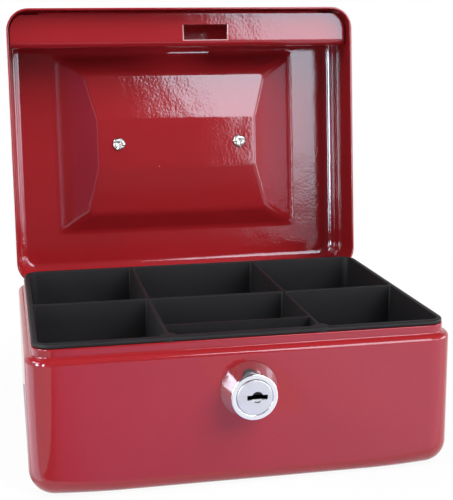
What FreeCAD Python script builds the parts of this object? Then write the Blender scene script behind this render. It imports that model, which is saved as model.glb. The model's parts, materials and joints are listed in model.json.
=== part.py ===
# Cash box: a drawn steel box with a hinged lid, a lift-out coin tray, a bail
# handle in a pressed recess and a cam lock whose hook catches a strip in the lid.
# Millimetres. +X right, +Y to the hinge side, +Z up, origin under the middle of the base.
import os

import FreeCAD
import Part
import Sketcher

# Driving sizes: each is set by itself, in millimetres or degrees.
SIZES = {
    "body_width": 152.0,
    "body_depth": 118.0,
    "box_height": 80.0,
    "sheet_gauge": 0.8,
    "corner_radius": 9.5,
    "bottom_radius": 6.0,
    "wall_height": 49.4,
    "shoulder_radius": 1.6,
    "neck_inset": 2.4,
    "neck_radius": 0.6,
    "neck_height": 3.6,
    "seam_gap": 0.1,
    "lid_edge_radius": 5.5,
    "open_angle": 95.0,
    "recess_width": 110.0,
    "recess_floor_width": 74.0,
    "recess_front": 40.3,
    "recess_rear": 39.5,
    "recess_slope_front": 30.3,
    "recess_slope_rear": 31.2,
    "plateau_front": 10.6,
    "plateau_rear": 10.0,
    "recess_depth": 8.0,
    "recess_slope_depth": 5.6,
    "recess_edge_radius": 2.4,
    "recess_corner_radius": 5.0,
    "hinge_inset": 0.6,
    "hinge_drop": 0.7,
    "hinge_spacing": 90.0,
    "hinge_length": 30.0,
    "hinge_middle": 12.0,
    "hinge_side_gap": 0.3,
    "hinge_window_gap": 0.4,
    "knuckle_radius": 1.6,
    "pin_radius": 0.85,
    "pin_bevel": 0.3,
    "leaf_gauge": 0.7,
    "leaf_height": 11.0,
    "leaf_step": 0.7,
    "running_clearance": 0.05,
    "tray_flange": 1.8,
    "tray_overhang": 0.4,
    "tray_clearance": 0.4,
    "tray_wall": 1.2,
    "tray_depth": 24.0,
    "tray_draft": 2.0,
    "cell_radius": 3.5,
    "divider_radius": 1.0,
    "cell_floor_bevel": 0.8,
    "divider_x": 27.0,
    "divider_y": -1.9,
    "lock_bay_depth": 12.0,
    "rim_bar_width": 3.4,
    "rim_boss_radius": 3.0,
    "tray_edge_radius": 3.0,
    "strip_gauge": 0.8,
    "strip_clearance": 0.6,
    "strip_depth": 15.4,
    "strip_side_gap": 0.7,
    "strip_bend_radius": 2.6,
    "strip_front_radius": 0.6,
    "strip_flange": 6.0,
    "strip_weld_width": 124.0,
    "slot_start": 0.7,
    "slot_length": 19.6,
    "slot_width": 6.6,
    "slot_back": 6.0,
    "lock_height": 35.2,
    "bezel_base_radius": 9.75,
    "bezel_face_radius": 8.2,
    "bezel_length": 9.5,
    "bezel_bevel": 0.4,
    "barrel_radius": 7.5,
    "barrel_flats": 13.4,
    "barrel_reach": 8.0,
    "hole_clearance": 0.1,
    "washer_gauge": 0.8,
    "washer_radius": 10.5,
    "nut_flats": 18.0,
    "nut_thickness": 3.2,
    "plug_head_radius": 6.3,
    "plug_head_length": 2.5,
    "plug_radius": 5.5,
    "plug_setback": 0.3,
    "keyway_width": 7.0,
    "keyway_height": 1.9,
    "keyway_depth": 12.0,
    "keyway_shift": 0.9,
    "key_eye_radius": 1.95,
    "key_eye_depth": 1.0,
    "tail_width": 6.0,
    "hook_gauge": 2.0,
    "hook_gap": 0.4,
    "hook_hub_radius": 7.0,
    "hook_reach": 6.0,
    "hook_lift": 0.35,
    "hook_nose": 3.2,
    "hook_tip_angle": 16.0,
    "hook_arm_angle": 48.0,
    "hook_arm_width": 6.0,
    "screw_head_radius": 3.6,
    "screw_head_height": 2.2,
    "screw_radius": 2.0,
    "screw_length": 7.0,
    "screw_slot": 1.0,
    "screw_slot_depth": 1.0,
    "spring_washer_gauge": 0.7,
    "spring_washer_radius": 4.2,
    "post_spacing": 55.8,
    "post_setback": 0.4,
    "post_radius": 3.2,
    "post_shank_radius": 2.0,
    "post_collar_radius": 3.8,
    "post_collar_height": 1.0,
    "post_tail_radius": 2.9,
    "post_tail_height": 1.1,
    "bail_radius": 1.9,
    "bail_sink": 3.2,
    "bail_reach": 21.5,
    "bail_bend": 3.0,
    "bail_grip_bend": 7.0,
    "bail_stub": 0.4,
    "bail_side_gap": 0.4,
    "post_below": 0.3,
    "post_bevel": 0.6,
}

# Places worked out from the sizes: what seats on, fits in or lines up with another piece.
PLACES = {
    "half_width": "Sizes.body_width / 2",
    "half_depth": "Sizes.body_depth / 2",
    "inner_x": "Sizes.body_width / 2 - Sizes.sheet_gauge",
    "inner_y": "Sizes.body_depth / 2 - Sizes.sheet_gauge",
    "neck_x": "Sizes.body_width / 2 - Sizes.neck_inset",
    "neck_y": "Sizes.body_depth / 2 - Sizes.neck_inset",
    "neck_top": "Sizes.wall_height + Sizes.neck_height",
    "neck_corner": "Sizes.corner_radius - Sizes.neck_inset",
    "rim_z": "Sizes.wall_height + Sizes.seam_gap",
    "lid_height": "Sizes.box_height - rim_z",
    "recess_x": "Sizes.recess_width / 2",
    "recess_floor_x": "Sizes.recess_floor_width / 2",
    "recess_floor_z": "Sizes.box_height - Sizes.recess_depth",
    "recess_slope_z": "Sizes.box_height - Sizes.recess_slope_depth",
    "recess_span": "Sizes.recess_front + Sizes.recess_rear",
    "hinge_y": "half_depth - Sizes.hinge_inset",
    "hinge_z": "rim_z - Sizes.hinge_drop",
    "hinge_x": "Sizes.hinge_spacing / 2",
    "hinge_bore": "Sizes.pin_radius + Sizes.running_clearance",
    "hinge_half": "Sizes.hinge_length / 2",
    "window_left": "hinge_x - hinge_half - Sizes.hinge_window_gap",
    "window_right": "hinge_x + hinge_half + Sizes.hinge_window_gap",
    "window_low": "hinge_z - Sizes.knuckle_radius - Sizes.hinge_window_gap",
    "window_high": "hinge_z + Sizes.knuckle_radius + Sizes.hinge_window_gap",
    "hinge_back": "hinge_y + Sizes.knuckle_radius + Sizes.hinge_window_gap",
    "middle_gap": "Sizes.hinge_middle + 2 * Sizes.hinge_side_gap",
    "leaf_front": "inner_y - Sizes.leaf_gauge",
    "roll_front": "hinge_y - Sizes.knuckle_radius",
    "roll_back": "hinge_y - Sizes.knuckle_radius + Sizes.leaf_gauge",
    "body_leaf_top": "window_low - Sizes.leaf_step",
    "body_leaf_low": "window_low - Sizes.leaf_step - Sizes.leaf_height",
    "lid_leaf_low": "window_high + Sizes.leaf_step",
    "lid_leaf_top": "window_high + Sizes.leaf_step + Sizes.leaf_height",
    "tray_x": "neck_x - Sizes.sheet_gauge - Sizes.tray_clearance",
    "tray_y": "neck_y - Sizes.sheet_gauge - Sizes.tray_clearance",
    "flange_x": "neck_x + Sizes.tray_overhang",
    "flange_y": "neck_y + Sizes.tray_overhang",
    "flange_corner": "neck_corner + Sizes.tray_overhang",
    "tray_corner": "neck_corner - Sizes.sheet_gauge - Sizes.tray_clearance",
    "tray_top": "neck_top + Sizes.tray_flange",
    "tray_bottom": "neck_top - Sizes.tray_depth",
    "cell_depth": "Sizes.tray_depth + Sizes.tray_flange - Sizes.tray_wall",
    "cell_floor_z": "tray_top - cell_depth",
    "cell_out_x": "tray_x - Sizes.tray_wall",
    "cell_out_y": "tray_y - Sizes.tray_wall",
    "cell_side_x": "Sizes.divider_x + Sizes.tray_wall / 2",
    "cell_mid_x": "Sizes.divider_x - Sizes.tray_wall / 2",
    "cell_back_y": "Sizes.divider_y + Sizes.tray_wall / 2",
    "cell_front_y": "Sizes.divider_y - Sizes.tray_wall / 2",
    "bar_back_y": "Sizes.rim_bar_width - flange_y",
    "bay_back_y": "bar_back_y + Sizes.lock_bay_depth",
    "bay_cell_y": "bay_back_y + Sizes.tray_wall",
    "strip_z": "tray_top + Sizes.strip_clearance",
    "strip_top": "strip_z + Sizes.strip_gauge",
    "strip_flange_z": "strip_z + Sizes.strip_flange",
    "strip_x": "inner_x - Sizes.strip_side_gap",
    "strip_length": "2 * strip_x",
    "strip_bend_inner": "Sizes.strip_bend_radius - Sizes.strip_gauge",
    "slot_cut": "4 * Sizes.strip_gauge",
    "strip_end_y": "inner_y - Sizes.strip_side_gap",
    "strip_corner": "Sizes.corner_radius - Sizes.sheet_gauge - Sizes.strip_side_gap",
    "strip_front_in": "inner_y - Sizes.strip_gauge",
    "strip_back": "inner_y - Sizes.strip_depth",
    "strip_back_in": "inner_y - Sizes.strip_depth + Sizes.strip_gauge",
    "strip_weld_x": "Sizes.strip_weld_width / 2",
    "slot_end": "Sizes.slot_start + Sizes.slot_length",
    "slot_front": "inner_y - Sizes.slot_back",
    "slot_rear": "inner_y - Sizes.slot_back - Sizes.slot_width",
    "lock_face_y": "half_depth + Sizes.bezel_length",
    "barrel_end_y": "half_depth - Sizes.barrel_reach",
    "barrel_flat_x": "Sizes.barrel_flats / 2",
    "lock_hole_radius": "Sizes.barrel_radius + Sizes.hole_clearance",
    "lock_hole_flat": "Sizes.barrel_flats / 2 + Sizes.hole_clearance",
    "plug_head_bore": "Sizes.plug_head_radius + Sizes.running_clearance",
    "plug_bore": "Sizes.plug_radius + Sizes.running_clearance",
    "plug_face_y": "lock_face_y - Sizes.plug_setback",
    "plug_seat_y": "plug_face_y - Sizes.plug_head_length",
    "barrel_seat_y": "plug_seat_y - Sizes.running_clearance",
    "hook_front_y": "barrel_end_y - Sizes.hook_gap",
    "hook_back_y": "hook_front_y - Sizes.hook_gauge",
    "washer_back_y": "hook_back_y - Sizes.spring_washer_gauge",
    "tail_half": "Sizes.tail_width / 2",
    "tail_hole_half": "Sizes.tail_width / 2 + Sizes.running_clearance",
    "screw_hole": "Sizes.screw_radius + Sizes.running_clearance",
    "hook_height": "strip_top - Sizes.lock_height",
    "hook_inner": "sqrt(hook_height ^ 2 + Sizes.hook_reach ^ 2) + Sizes.hook_lift",
    "hook_outer": "hook_inner + Sizes.hook_nose",
    "hook_arm": "hook_inner + Sizes.hook_nose / 2",
    "nose_end_angle": "Sizes.hook_arm_angle * 1 deg + asin(Sizes.hook_arm_width / 2 / hook_arm)",
    "nose_tip_in": "hook_inner * sin(Sizes.hook_tip_angle)",
    "nose_tip_out": "hook_outer * sin(Sizes.hook_tip_angle)",
    "nose_end_in": "hook_inner * sin(nose_end_angle)",
    "nose_end_out": "hook_outer * sin(nose_end_angle)",
    "arm_half": "Sizes.hook_arm_width / 2",
    "keyway_left": "Sizes.keyway_shift - Sizes.keyway_width / 2",
    "keyway_right": "Sizes.keyway_shift + Sizes.keyway_width / 2",
    "keyway_half": "Sizes.keyway_height / 2",
    "screw_tip_y": "washer_back_y + Sizes.screw_length",
    "screw_head_y": "washer_back_y - Sizes.screw_head_height",
    "screw_well_y": "screw_tip_y + Sizes.running_clearance",
    "screw_slot_half": "Sizes.screw_slot / 2",
    "washer_front_y": "half_depth - Sizes.sheet_gauge",
    "nut_front_y": "washer_front_y - Sizes.washer_gauge",
    "nut_half": "Sizes.nut_flats / 2",
    "nut_corner": "Sizes.nut_flats / sqrt(3)",
    "nut_side": "nut_corner / 2",
    "post_tail_z": "Sizes.sheet_gauge + Sizes.post_tail_height",
    "post_x": "Sizes.post_spacing / 2",
    "post_top": "Sizes.recess_depth - Sizes.post_below",
    "post_hole": "Sizes.post_shank_radius + Sizes.hole_clearance",
    "bail_height": "Sizes.recess_depth - Sizes.bail_sink",
    "bail_axis_z": "Sizes.box_height - Sizes.bail_sink",
    "bail_bore": "Sizes.bail_radius + Sizes.running_clearance",
    "bail_start": "post_x - Sizes.post_radius - Sizes.bail_stub",
    "bail_leg_x": "post_x + Sizes.post_radius + Sizes.bail_bend + Sizes.bail_side_gap",
}
QUARTER_TURN = 90

doc = FreeCAD.newDocument("CashBox")


def fill_sheets():
    """Write the driving sizes as plain numbers, then the places worked out from them."""
    sizes = doc.addObject("Spreadsheet::Sheet", "Sizes")
    for row, (name, value) in enumerate(SIZES.items(), 1):
        sizes.set(f"A{row}", name)
        sizes.set(f"B{row}", str(value))
        sizes.setAlias(f"B{row}", name)
    places = doc.addObject("Spreadsheet::Sheet", "Places")
    for row, (name, formula) in enumerate(PLACES.items(), 1):
        places.set(f"A{row}", name)
        places.set(f"B{row}", f"={formula}")
        places.setAlias(f"B{row}", name)
    doc.recompute()


def number(name):
    """The value of a size or place: 'Sizes.x', 'Places.y', a minus sign before it, or a plain zero."""
    if name == "0":
        return 0.0
    sign = -1.0 if name.startswith("-") else 1.0
    sheet, alias = name.lstrip("-").split(".")
    return sign * float(getattr(doc.getObject(sheet), alias))


def new_body(label):
    body = doc.addObject("PartDesign::Body", label)
    body.Label = label
    return body


def sketch_on(body, role, offset=None, turn=None):
    """A sketch on one of the body's own origin planes, moved along its normal and turned by named values."""
    sketch = body.newObject("Sketcher::SketchObject", f"{body.Label}_sketch")
    plane = next(item for item in body.Origin.OriginFeatures if item.Role == role)
    sketch.AttachmentSupport = [(plane, "")]
    sketch.MapMode = "FlatFace"
    if offset:
        sketch.setExpression("AttachmentOffset.Base.z", offset)
    if turn:
        sketch.AttachmentOffset.Rotation = FreeCAD.Rotation(FreeCAD.Vector(0, 0, 1), number(turn))
        sketch.setExpression("AttachmentOffset.Rotation.Angle", turn)
    return sketch


def pin_point(sketch, geometry, point, x, y):
    """Fix a sketch point at named distances from the sketch's origin."""
    for kind, name in (("DistanceX", x), ("DistanceY", y)):
        index = sketch.addConstraint(Sketcher.Constraint(kind, -1, 1, geometry, point, number(name)))
        sketch.setExpression(f"Constraints[{index}]", name)


def outline(sketch, corners):
    """A closed run of straight lines; each corner is a pair of names."""
    first = sketch.GeometryCount
    points = [FreeCAD.Vector(number(x), number(y), 0) for x, y in corners]
    count = len(points)
    for index in range(count):
        sketch.addGeometry(Part.LineSegment(points[index], points[(index + 1) % count]))
    for index in range(count):
        following = first + (index + 1) % count
        sketch.addConstraint(Sketcher.Constraint("Coincident", first + index, 2, following, 1))
    for index, (x, y) in enumerate(corners):
        pin_point(sketch, first + index, 1, x, y)


def rectangle(sketch, x_low, x_high, y_low, y_high):
    outline(sketch, [(x_low, y_low), (x_high, y_low), (x_high, y_high), (x_low, y_high)])


def circle(sketch, x, y, radius):
    centre = FreeCAD.Vector(number(x), number(y), 0)
    shape = sketch.addGeometry(Part.Circle(centre, FreeCAD.Vector(0, 0, 1), number(radius)))
    index = sketch.addConstraint(Sketcher.Constraint("Radius", shape, number(radius)))
    sketch.setExpression(f"Constraints[{index}]", radius)
    pin_point(sketch, shape, 3, x, y)


def extrude(body, kind, sketch, length, both=False, flip=False, taper=None):
    """A Pad or a Pocket of a named length, one way or evenly to both sides of its sketch."""
    feature = body.newObject(f"PartDesign::{kind}", f"{body.Label}_{kind.lower()}")
    feature.Profile = sketch
    feature.setExpression("Length", length)
    feature.SideType = "Symmetric" if both else "One side"
    feature.Reversed = flip
    if taper:
        feature.setExpression("TaperAngle", taper)
    doc.recompute()
    return feature


def cut_through(body, sketch):
    """A Pocket through everything, to both sides of its sketch."""
    feature = body.newObject("PartDesign::Pocket", f"{body.Label}_pocket")
    feature.Profile = sketch
    feature.Type = "ThroughAll"
    feature.SideType = "Symmetric"
    doc.recompute()
    return feature


def revolve(body, sketch):
    """A full turn of the sketch about its own vertical axis."""
    feature = body.newObject("PartDesign::Revolution", f"{body.Label}_revolution")
    feature.Profile = sketch
    feature.ReferenceAxis = (sketch, ["V_Axis"])
    feature.Angle = 360
    doc.recompute()
    return feature


def edges_where(feature, test):
    """Names of the edges whose bounding box passes the test."""
    return [f"Edge{index}" for index, edge in enumerate(feature.Shape.Edges, 1) if test(edge.BoundBox)]


def dress_edges(body, kind, measure, size, test):
    """Fillet or chamfer the edges of the body's last feature whose bounding box passes the test."""
    base = body.Tip
    feature = body.newObject(f"PartDesign::{kind}", f"{body.Label}_{kind.lower()}")
    feature.Base = (base, edges_where(base, test))
    feature.setExpression(measure, size)
    doc.recompute()
    return feature


def round_edges(body, radius, test):
    return dress_edges(body, "Fillet", "Radius", radius, test)


def bevel_edges(body, size, test):
    return dress_edges(body, "Chamfer", "Size", size, test)


def near(value, target):
    return abs(value - target) < 0.01


def upright(box):
    """True for an edge that runs along Z."""
    return box.XLength < 0.01 and box.YLength < 0.01


def level_at(height):
    """A test for edges that lie flat at the height of a named place."""
    return lambda box: near(box.ZMin, number(height)) and near(box.ZMax, number(height))


def hollow(body, height):
    """Turn the solid into sheet metal of one gauge, open on its flat face at a named height."""
    base = body.Tip
    faces = [f"Face{index}" for index, face in enumerate(base.Shape.Faces, 1)
             if level_at(height)(face.BoundBox)]
    feature = body.newObject("PartDesign::Thickness", f"{body.Label}_thickness")
    feature.Base = (base, faces)
    feature.setExpression("Value", "Sizes.sheet_gauge")
    feature.Reversed = True
    doc.recompute()
    return feature


def block(body, x, y, base, height, corner):
    """A padded rectangle about the Z axis with rounded upright corners."""
    sketch = sketch_on(body, "XY_Plane", base)
    rectangle(sketch, f"-{x}", x, f"-{y}", y)
    extrude(body, "Pad", sketch, height)
    half_x = number(x)
    round_edges(body, corner, lambda box: upright(box) and near(abs(box.XMin), half_x))


def double_d(sketch, centre, radius, flat):
    """A round hole with two upright flats, centred at a named height on the sketch's vertical axis."""
    middle = FreeCAD.Vector(0, number(centre), 0)
    reach = number(radius)
    side = number(flat)
    rise = (reach ** 2 - side ** 2) ** 0.5
    corners = [FreeCAD.Vector(x, middle.y + y, 0) for x, y in
               ((side, -rise), (side, rise), (-side, rise), (-side, -rise))]
    peaks = [middle + FreeCAD.Vector(0, reach, 0), middle - FreeCAD.Vector(0, reach, 0)]
    sketch.addGeometry(Part.LineSegment(corners[0], corners[1]))
    sketch.addGeometry(Part.Arc(corners[1], peaks[0], corners[2]))
    sketch.addGeometry(Part.LineSegment(corners[2], corners[3]))
    sketch.addGeometry(Part.Arc(corners[3], peaks[1], corners[0]))
    # An arc runs anticlockwise, so both arcs here start at the corner named first.
    for line_end, arc, point in (((0, 2), 1, 1), ((2, 1), 1, 2), ((2, 2), 3, 1), ((0, 1), 3, 2)):
        sketch.addConstraint(Sketcher.Constraint("Coincident", *line_end, arc, point))
    for arc in (1, 3):
        pin_point(sketch, arc, 3, "0", centre)
        index = sketch.addConstraint(Sketcher.Constraint("Radius", arc, reach))
        sketch.setExpression(f"Constraints[{index}]", radius)
    for line, name in ((0, flat), (2, f"-{flat}")):
        sketch.addConstraint(Sketcher.Constraint("Vertical", line))
        index = sketch.addConstraint(Sketcher.Constraint("DistanceX", -1, 1, line, 1, number(name)))
        sketch.setExpression(f"Constraints[{index}]", name)


def make_body_shell():
    """The drawn box: round corners and bottom edge, and a neck stepped in for the lid."""
    body = new_body("body_shell")
    block(body, "Places.neck_x", "Places.neck_y", None, "Places.neck_top", "Places.neck_corner")
    block(body, "Places.half_width", "Places.half_depth", None, "Sizes.wall_height", "Sizes.corner_radius")
    half_width = number("Places.half_width")
    neck_x = number("Places.neck_x")
    half_depth = number("Places.half_depth")
    neck_y = number("Places.neck_y")
    corner = number("Sizes.corner_radius")
    round_edges(body, "Sizes.bottom_radius", lambda box: box.ZMax < 0.01)
    on_shoulder = level_at("Sizes.wall_height")

    def outer(box):
        return (max(abs(box.XMin), abs(box.XMax)) > half_width - 0.01
                or max(abs(box.YMin), abs(box.YMax)) > half_depth - 0.01)
    round_edges(body, "Sizes.shoulder_radius", lambda box: on_shoulder(box) and outer(box))
    round_edges(body, "Sizes.neck_radius", lambda box: on_shoulder(box) and max(
        abs(box.XMin), abs(box.XMax)) < neck_x + 0.01 and max(abs(box.YMin), abs(box.YMax)) < neck_y + 0.01)
    hollow(body, "Places.neck_top")
    hole = sketch_on(body, "XZ_Plane", "Places.half_depth")
    double_d(hole, "Sizes.lock_height", "Places.lock_hole_radius", "Places.lock_hole_flat")
    extrude(body, "Pocket", hole, "Sizes.neck_inset")
    cut_hinge_windows(body)
    return body


def cut_hinge_windows(body):
    """Two windows in the rear wall that the hinge knuckles turn in."""
    windows = sketch_on(body, "XZ_Plane", "-Places.half_depth")
    for left, right in (("Places.window_left", "Places.window_right"),
                        ("-Places.window_right", "-Places.window_left")):
        rectangle(windows, left, right, "Places.window_low", "Places.window_high")
    extrude(body, "Pocket", windows, "Sizes.neck_inset", flip=True)


def make_lid_shell():
    """The drawn lid, shut: round edges, and a dished hand recess pressed into its top."""
    body = new_body("lid_shell")
    block(body, "Places.half_width", "Places.half_depth", "Places.rim_z", "Places.lid_height",
          "Sizes.corner_radius")
    round_edges(body, "Sizes.lid_edge_radius", level_at("Sizes.box_height"))
    trough = sketch_on(body, "YZ_Plane")
    outline(trough, [
        ("-Sizes.recess_front", "Sizes.box_height"),
        ("-Sizes.recess_slope_front", "Places.recess_slope_z"),
        ("-Sizes.plateau_front", "Places.recess_floor_z"),
        ("Sizes.plateau_rear", "Places.recess_floor_z"),
        ("Sizes.recess_slope_rear", "Places.recess_slope_z"),
        ("Sizes.recess_rear", "Sizes.box_height"),
    ])
    extrude(body, "Pocket", trough, "Sizes.recess_width", both=True)
    ends = sketch_on(body, "XZ_Plane", "Sizes.recess_front")
    for sign in ("", "-"):
        outline(ends, [
            (f"{sign}Places.recess_x", "Sizes.box_height"),
            (f"{sign}Places.recess_floor_x", "Places.recess_floor_z"),
            (f"{sign}Places.recess_x", "Places.recess_floor_z"),
        ])
    extrude(body, "Pad", ends, "Places.recess_span", flip=True)
    top = number("Sizes.box_height")
    floor = number("Places.recess_floor_z")
    reach = number("Places.recess_x")
    span = max(number("Sizes.recess_front"), number("Sizes.recess_rear"))

    def in_recess(box):
        return (box.ZMin > floor - 0.01 and max(abs(box.XMin), abs(box.XMax)) < reach + 0.01
                and max(abs(box.YMin), abs(box.YMax)) < span + 0.01)
    round_edges(body, "Sizes.recess_corner_radius", lambda box: in_recess(box) and box.ZMin < top - 0.01)
    round_edges(body, "Sizes.recess_edge_radius", lambda box: in_recess(box) and box.ZMin > top - 0.01)
    hollow(body, "Places.rim_z")
    holes = sketch_on(body, "XY_Plane")
    circle(holes, "Places.post_x", "-Sizes.post_setback", "Places.post_hole")
    circle(holes, "-Places.post_x", "-Sizes.post_setback", "Places.post_hole")
    cut_through(body, holes)
    cut_hinge_windows(body)
    open_with_lid(body)
    return body


# The turn about the hinge line that carries the shut lid to its open stop.
LID_TURN = ("placement(vector(0; 0; 0); rotation(vector(1; 0; 0); -Sizes.open_angle);"
            " vector(0; Places.hinge_y; Places.hinge_z))")


def open_with_lid(body, x="0", y="0", z="0"):
    """Set a piece down at a named place on the shut lid, then turn it with the lid to the open stop."""
    place = f"placement(vector({x}; {y}; {z}); rotation(vector(1; 0; 0); 0))"
    body.setExpression("Placement", f"{LID_TURN} * {place}")
    doc.recompute()


def make_hinge_leaf(label, side, moving):
    """One leaf of a hinge: a flat plate welded to the wall, stepped in and rolled round the pin."""
    body = new_body(label)
    low, high = ("lid_leaf_low", "lid_leaf_top") if moving else ("body_leaf_low", "body_leaf_top")
    knee, step = ("lid_leaf_low", "window_high") if moving else ("body_leaf_top", "window_low")
    plate = sketch_on(body, "YZ_Plane")
    rectangle(plate, "Places.leaf_front", "Places.inner_y", f"Places.{low}", f"Places.{high}")
    extrude(body, "Pad", plate, "Sizes.hinge_length", both=True)
    width = "Sizes.hinge_middle" if moving else "Sizes.hinge_length"
    neck = sketch_on(body, "YZ_Plane")
    outline(neck, [
        ("Places.leaf_front", f"Places.{knee}"),
        ("Places.roll_front", f"Places.{step}"),
        ("Places.roll_front", "Places.hinge_z"),
        ("Places.roll_back", "Places.hinge_z"),
        ("Places.roll_back", f"Places.{step}"),
        ("Places.inner_y", f"Places.{knee}"),
    ])
    extrude(body, "Pad", neck, width, both=True)
    roll = sketch_on(body, "YZ_Plane")
    circle(roll, "Places.hinge_y", "Places.hinge_z", "Sizes.knuckle_radius")
    extrude(body, "Pad", roll, width, both=True)
    if not moving:
        gap = sketch_on(body, "YZ_Plane")
        rectangle(gap, "Places.neck_y", "Places.hinge_back", "Places.body_leaf_top", "Places.window_high")
        extrude(body, "Pocket", gap, "Places.middle_gap", both=True)
    bore = sketch_on(body, "YZ_Plane")
    circle(bore, "Places.hinge_y", "Places.hinge_z", "Places.hinge_bore")
    cut_through(body, bore)
    place_hinge(body, side, moving)
    return body


def place_hinge(body, side, moving):
    """Move a hinge piece built about the middle of the box to its own side."""
    if moving:
        open_with_lid(body, f"{side}Places.hinge_x")
    else:
        body.setExpression("Placement.Base.x", f"{side}Places.hinge_x")
        doc.recompute()


def make_hinge_pin(label, side):
    """The wire a hinge turns on, with bevelled ends."""
    body = new_body(label)
    wire = sketch_on(body, "YZ_Plane")
    circle(wire, "Places.hinge_y", "Places.hinge_z", "Sizes.pin_radius")
    extrude(body, "Pad", wire, "Sizes.hinge_length", both=True)
    bevel_edges(body, "Sizes.pin_bevel", lambda box: box.XLength < 0.01)
    place_hinge(body, side, False)
    return body


def make_lock_strip():
    """The folded strip across the front of the lid, slotted for the lock hook."""
    body = new_body("lock_strip")
    fold = sketch_on(body, "YZ_Plane")
    outline(fold, [
        ("-Places.inner_y", "Places.strip_flange_z"),
        ("-Places.inner_y", "Places.strip_z"),
        ("-Places.strip_back", "Places.strip_z"),
        ("-Places.strip_back", "Places.strip_flange_z"),
        ("-Places.strip_back_in", "Places.strip_flange_z"),
        ("-Places.strip_back_in", "Places.strip_top"),
        ("-Places.strip_front_in", "Places.strip_top"),
        ("-Places.strip_front_in", "Places.strip_flange_z"),
    ])
    extrude(body, "Pad", fold, "Places.strip_length", both=True)
    trim = sketch_on(body, "XY_Plane", "Places.strip_z")
    for sign in ("", "-"):
        outline(trim, [
            (f"{sign}Places.strip_weld_x", "-Places.half_depth"),
            (f"{sign}Places.half_width", "-Places.half_depth"),
            (f"{sign}Places.half_width", "-Places.strip_end_y"),
            (f"{sign}Places.strip_weld_x", "-Places.strip_end_y"),
        ])
    cut_through(body, trim)
    flange_ends = sketch_on(body, "XY_Plane", "Places.strip_top")
    for sign in ("", "-"):
        outline(flange_ends, [
            (f"{sign}Places.strip_weld_x", "-Places.half_depth"),
            (f"{sign}Places.half_width", "-Places.half_depth"),
            (f"{sign}Places.half_width", "-Places.slot_front"),
            (f"{sign}Places.strip_weld_x", "-Places.slot_front"),
        ])
    extrude(body, "Pocket", flange_ends, "Sizes.strip_flange", flip=True)
    slot = sketch_on(body, "XY_Plane", "Places.strip_z")
    rectangle(slot, "Sizes.slot_start", "Places.slot_end", "-Places.slot_front", "-Places.slot_rear")
    extrude(body, "Pocket", slot, "Places.slot_cut", both=True)
    end = number("Places.strip_x")
    front = -number("Places.strip_end_y")
    round_edges(body, "Places.strip_corner", lambda box: upright(box) and near(abs(box.XMin), end)
                and near(box.YMin, front))
    for radius, line, height in (
        ("Sizes.strip_bend_radius", "-Places.strip_back", "Places.strip_z"),
        ("Places.strip_bend_inner", "-Places.strip_back_in", "Places.strip_top"),
        ("Sizes.strip_front_radius", "-Places.inner_y", "Places.strip_z"),
    ):
        y = number(line)
        level = level_at(height)
        round_edges(body, radius, lambda box: level(box) and near(box.YMin, y) and near(box.YMax, y))
    open_with_lid(body)
    return body


def make_coin_tray():
    """The moulded tray: a flange that rests on the neck, six cells, and a bay left open for the lock."""
    body = new_body("coin_tray")
    tub = sketch_on(body, "XY_Plane", "Places.neck_top")
    rectangle(tub, "-Places.tray_x", "Places.tray_x", "-Places.tray_y", "Places.tray_y")
    extrude(body, "Pad", tub, "Sizes.tray_depth", flip=True, taper="-Sizes.tray_draft")
    flange = sketch_on(body, "XY_Plane", "Places.neck_top")
    rectangle(flange, "-Places.flange_x", "Places.flange_x", "-Places.flange_y", "Places.flange_y")
    extrude(body, "Pad", flange, "Sizes.tray_flange")
    cells = sketch_on(body, "XY_Plane", "Places.tray_top")
    for left, right, front in (
        ("-Places.cell_out_x", "-Places.cell_side_x", "-Places.cell_out_y"),
        ("-Places.cell_mid_x", "Places.cell_mid_x", "Places.bay_cell_y"),
        ("Places.cell_side_x", "Places.cell_out_x", "-Places.cell_out_y"),
    ):
        rectangle(cells, left, right, front, "Places.cell_front_y")
        rectangle(cells, left, right, "Places.cell_back_y", "Places.cell_out_y")
    extrude(body, "Pocket", cells, "Places.cell_depth", taper="-Sizes.tray_draft")
    top = number("Places.tray_top")
    floor = number("Places.cell_floor_z")
    bottom = number("Places.tray_bottom")
    lip = number("Places.neck_top")
    side = number("Places.flange_x")
    out_x = number("Places.cell_out_x")
    out_y = number("Places.cell_out_y")

    def cell_corner(box):
        return near(box.ZMin, floor) and near(box.ZMax, top)

    def tray_corner(box):
        return (near(max(abs(box.XMin), abs(box.XMax)), out_x)
                and near(max(abs(box.YMin), abs(box.YMax)), out_y))
    round_edges(body, "Sizes.divider_radius", lambda box: cell_corner(box) and not tray_corner(box))
    round_edges(body, "Sizes.cell_radius", lambda box: cell_corner(box) and tray_corner(box))
    bevel_edges(body, "Sizes.cell_floor_bevel", level_at("Places.cell_floor_z"))
    round_edges(body, "Places.tray_corner", lambda box: near(box.ZMin, bottom) and near(box.ZMax, lip))
    round_edges(body, "Sizes.tray_edge_radius", level_at("Places.tray_bottom"))
    round_edges(body, "Places.flange_corner", lambda box: upright(box) and near(abs(box.XMin), side))
    bay = sketch_on(body, "XY_Plane", "Places.neck_top")
    rectangle(bay, "-Places.cell_mid_x", "Places.cell_mid_x", "Places.bar_back_y", "Places.bay_back_y")
    cut_through(body, bay)
    under_bar = sketch_on(body, "XY_Plane", "Places.neck_top")
    rectangle(under_bar, "-Places.cell_mid_x", "Places.cell_mid_x", "-Places.half_depth", "Places.bar_back_y")
    extrude(body, "Pocket", under_bar, "Sizes.tray_depth")
    bosses = sketch_on(body, "XY_Plane", "Places.neck_top")
    circle(bosses, "Sizes.divider_x", "Places.bar_back_y", "Sizes.rim_boss_radius")
    circle(bosses, "-Sizes.divider_x", "Places.bar_back_y", "Sizes.rim_boss_radius")
    extrude(body, "Pad", bosses, "Sizes.tray_flange")
    return body


def lift_to_lock(body):
    body.setExpression("Placement.Base.z", "Sizes.lock_height")
    doc.recompute()


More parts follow.
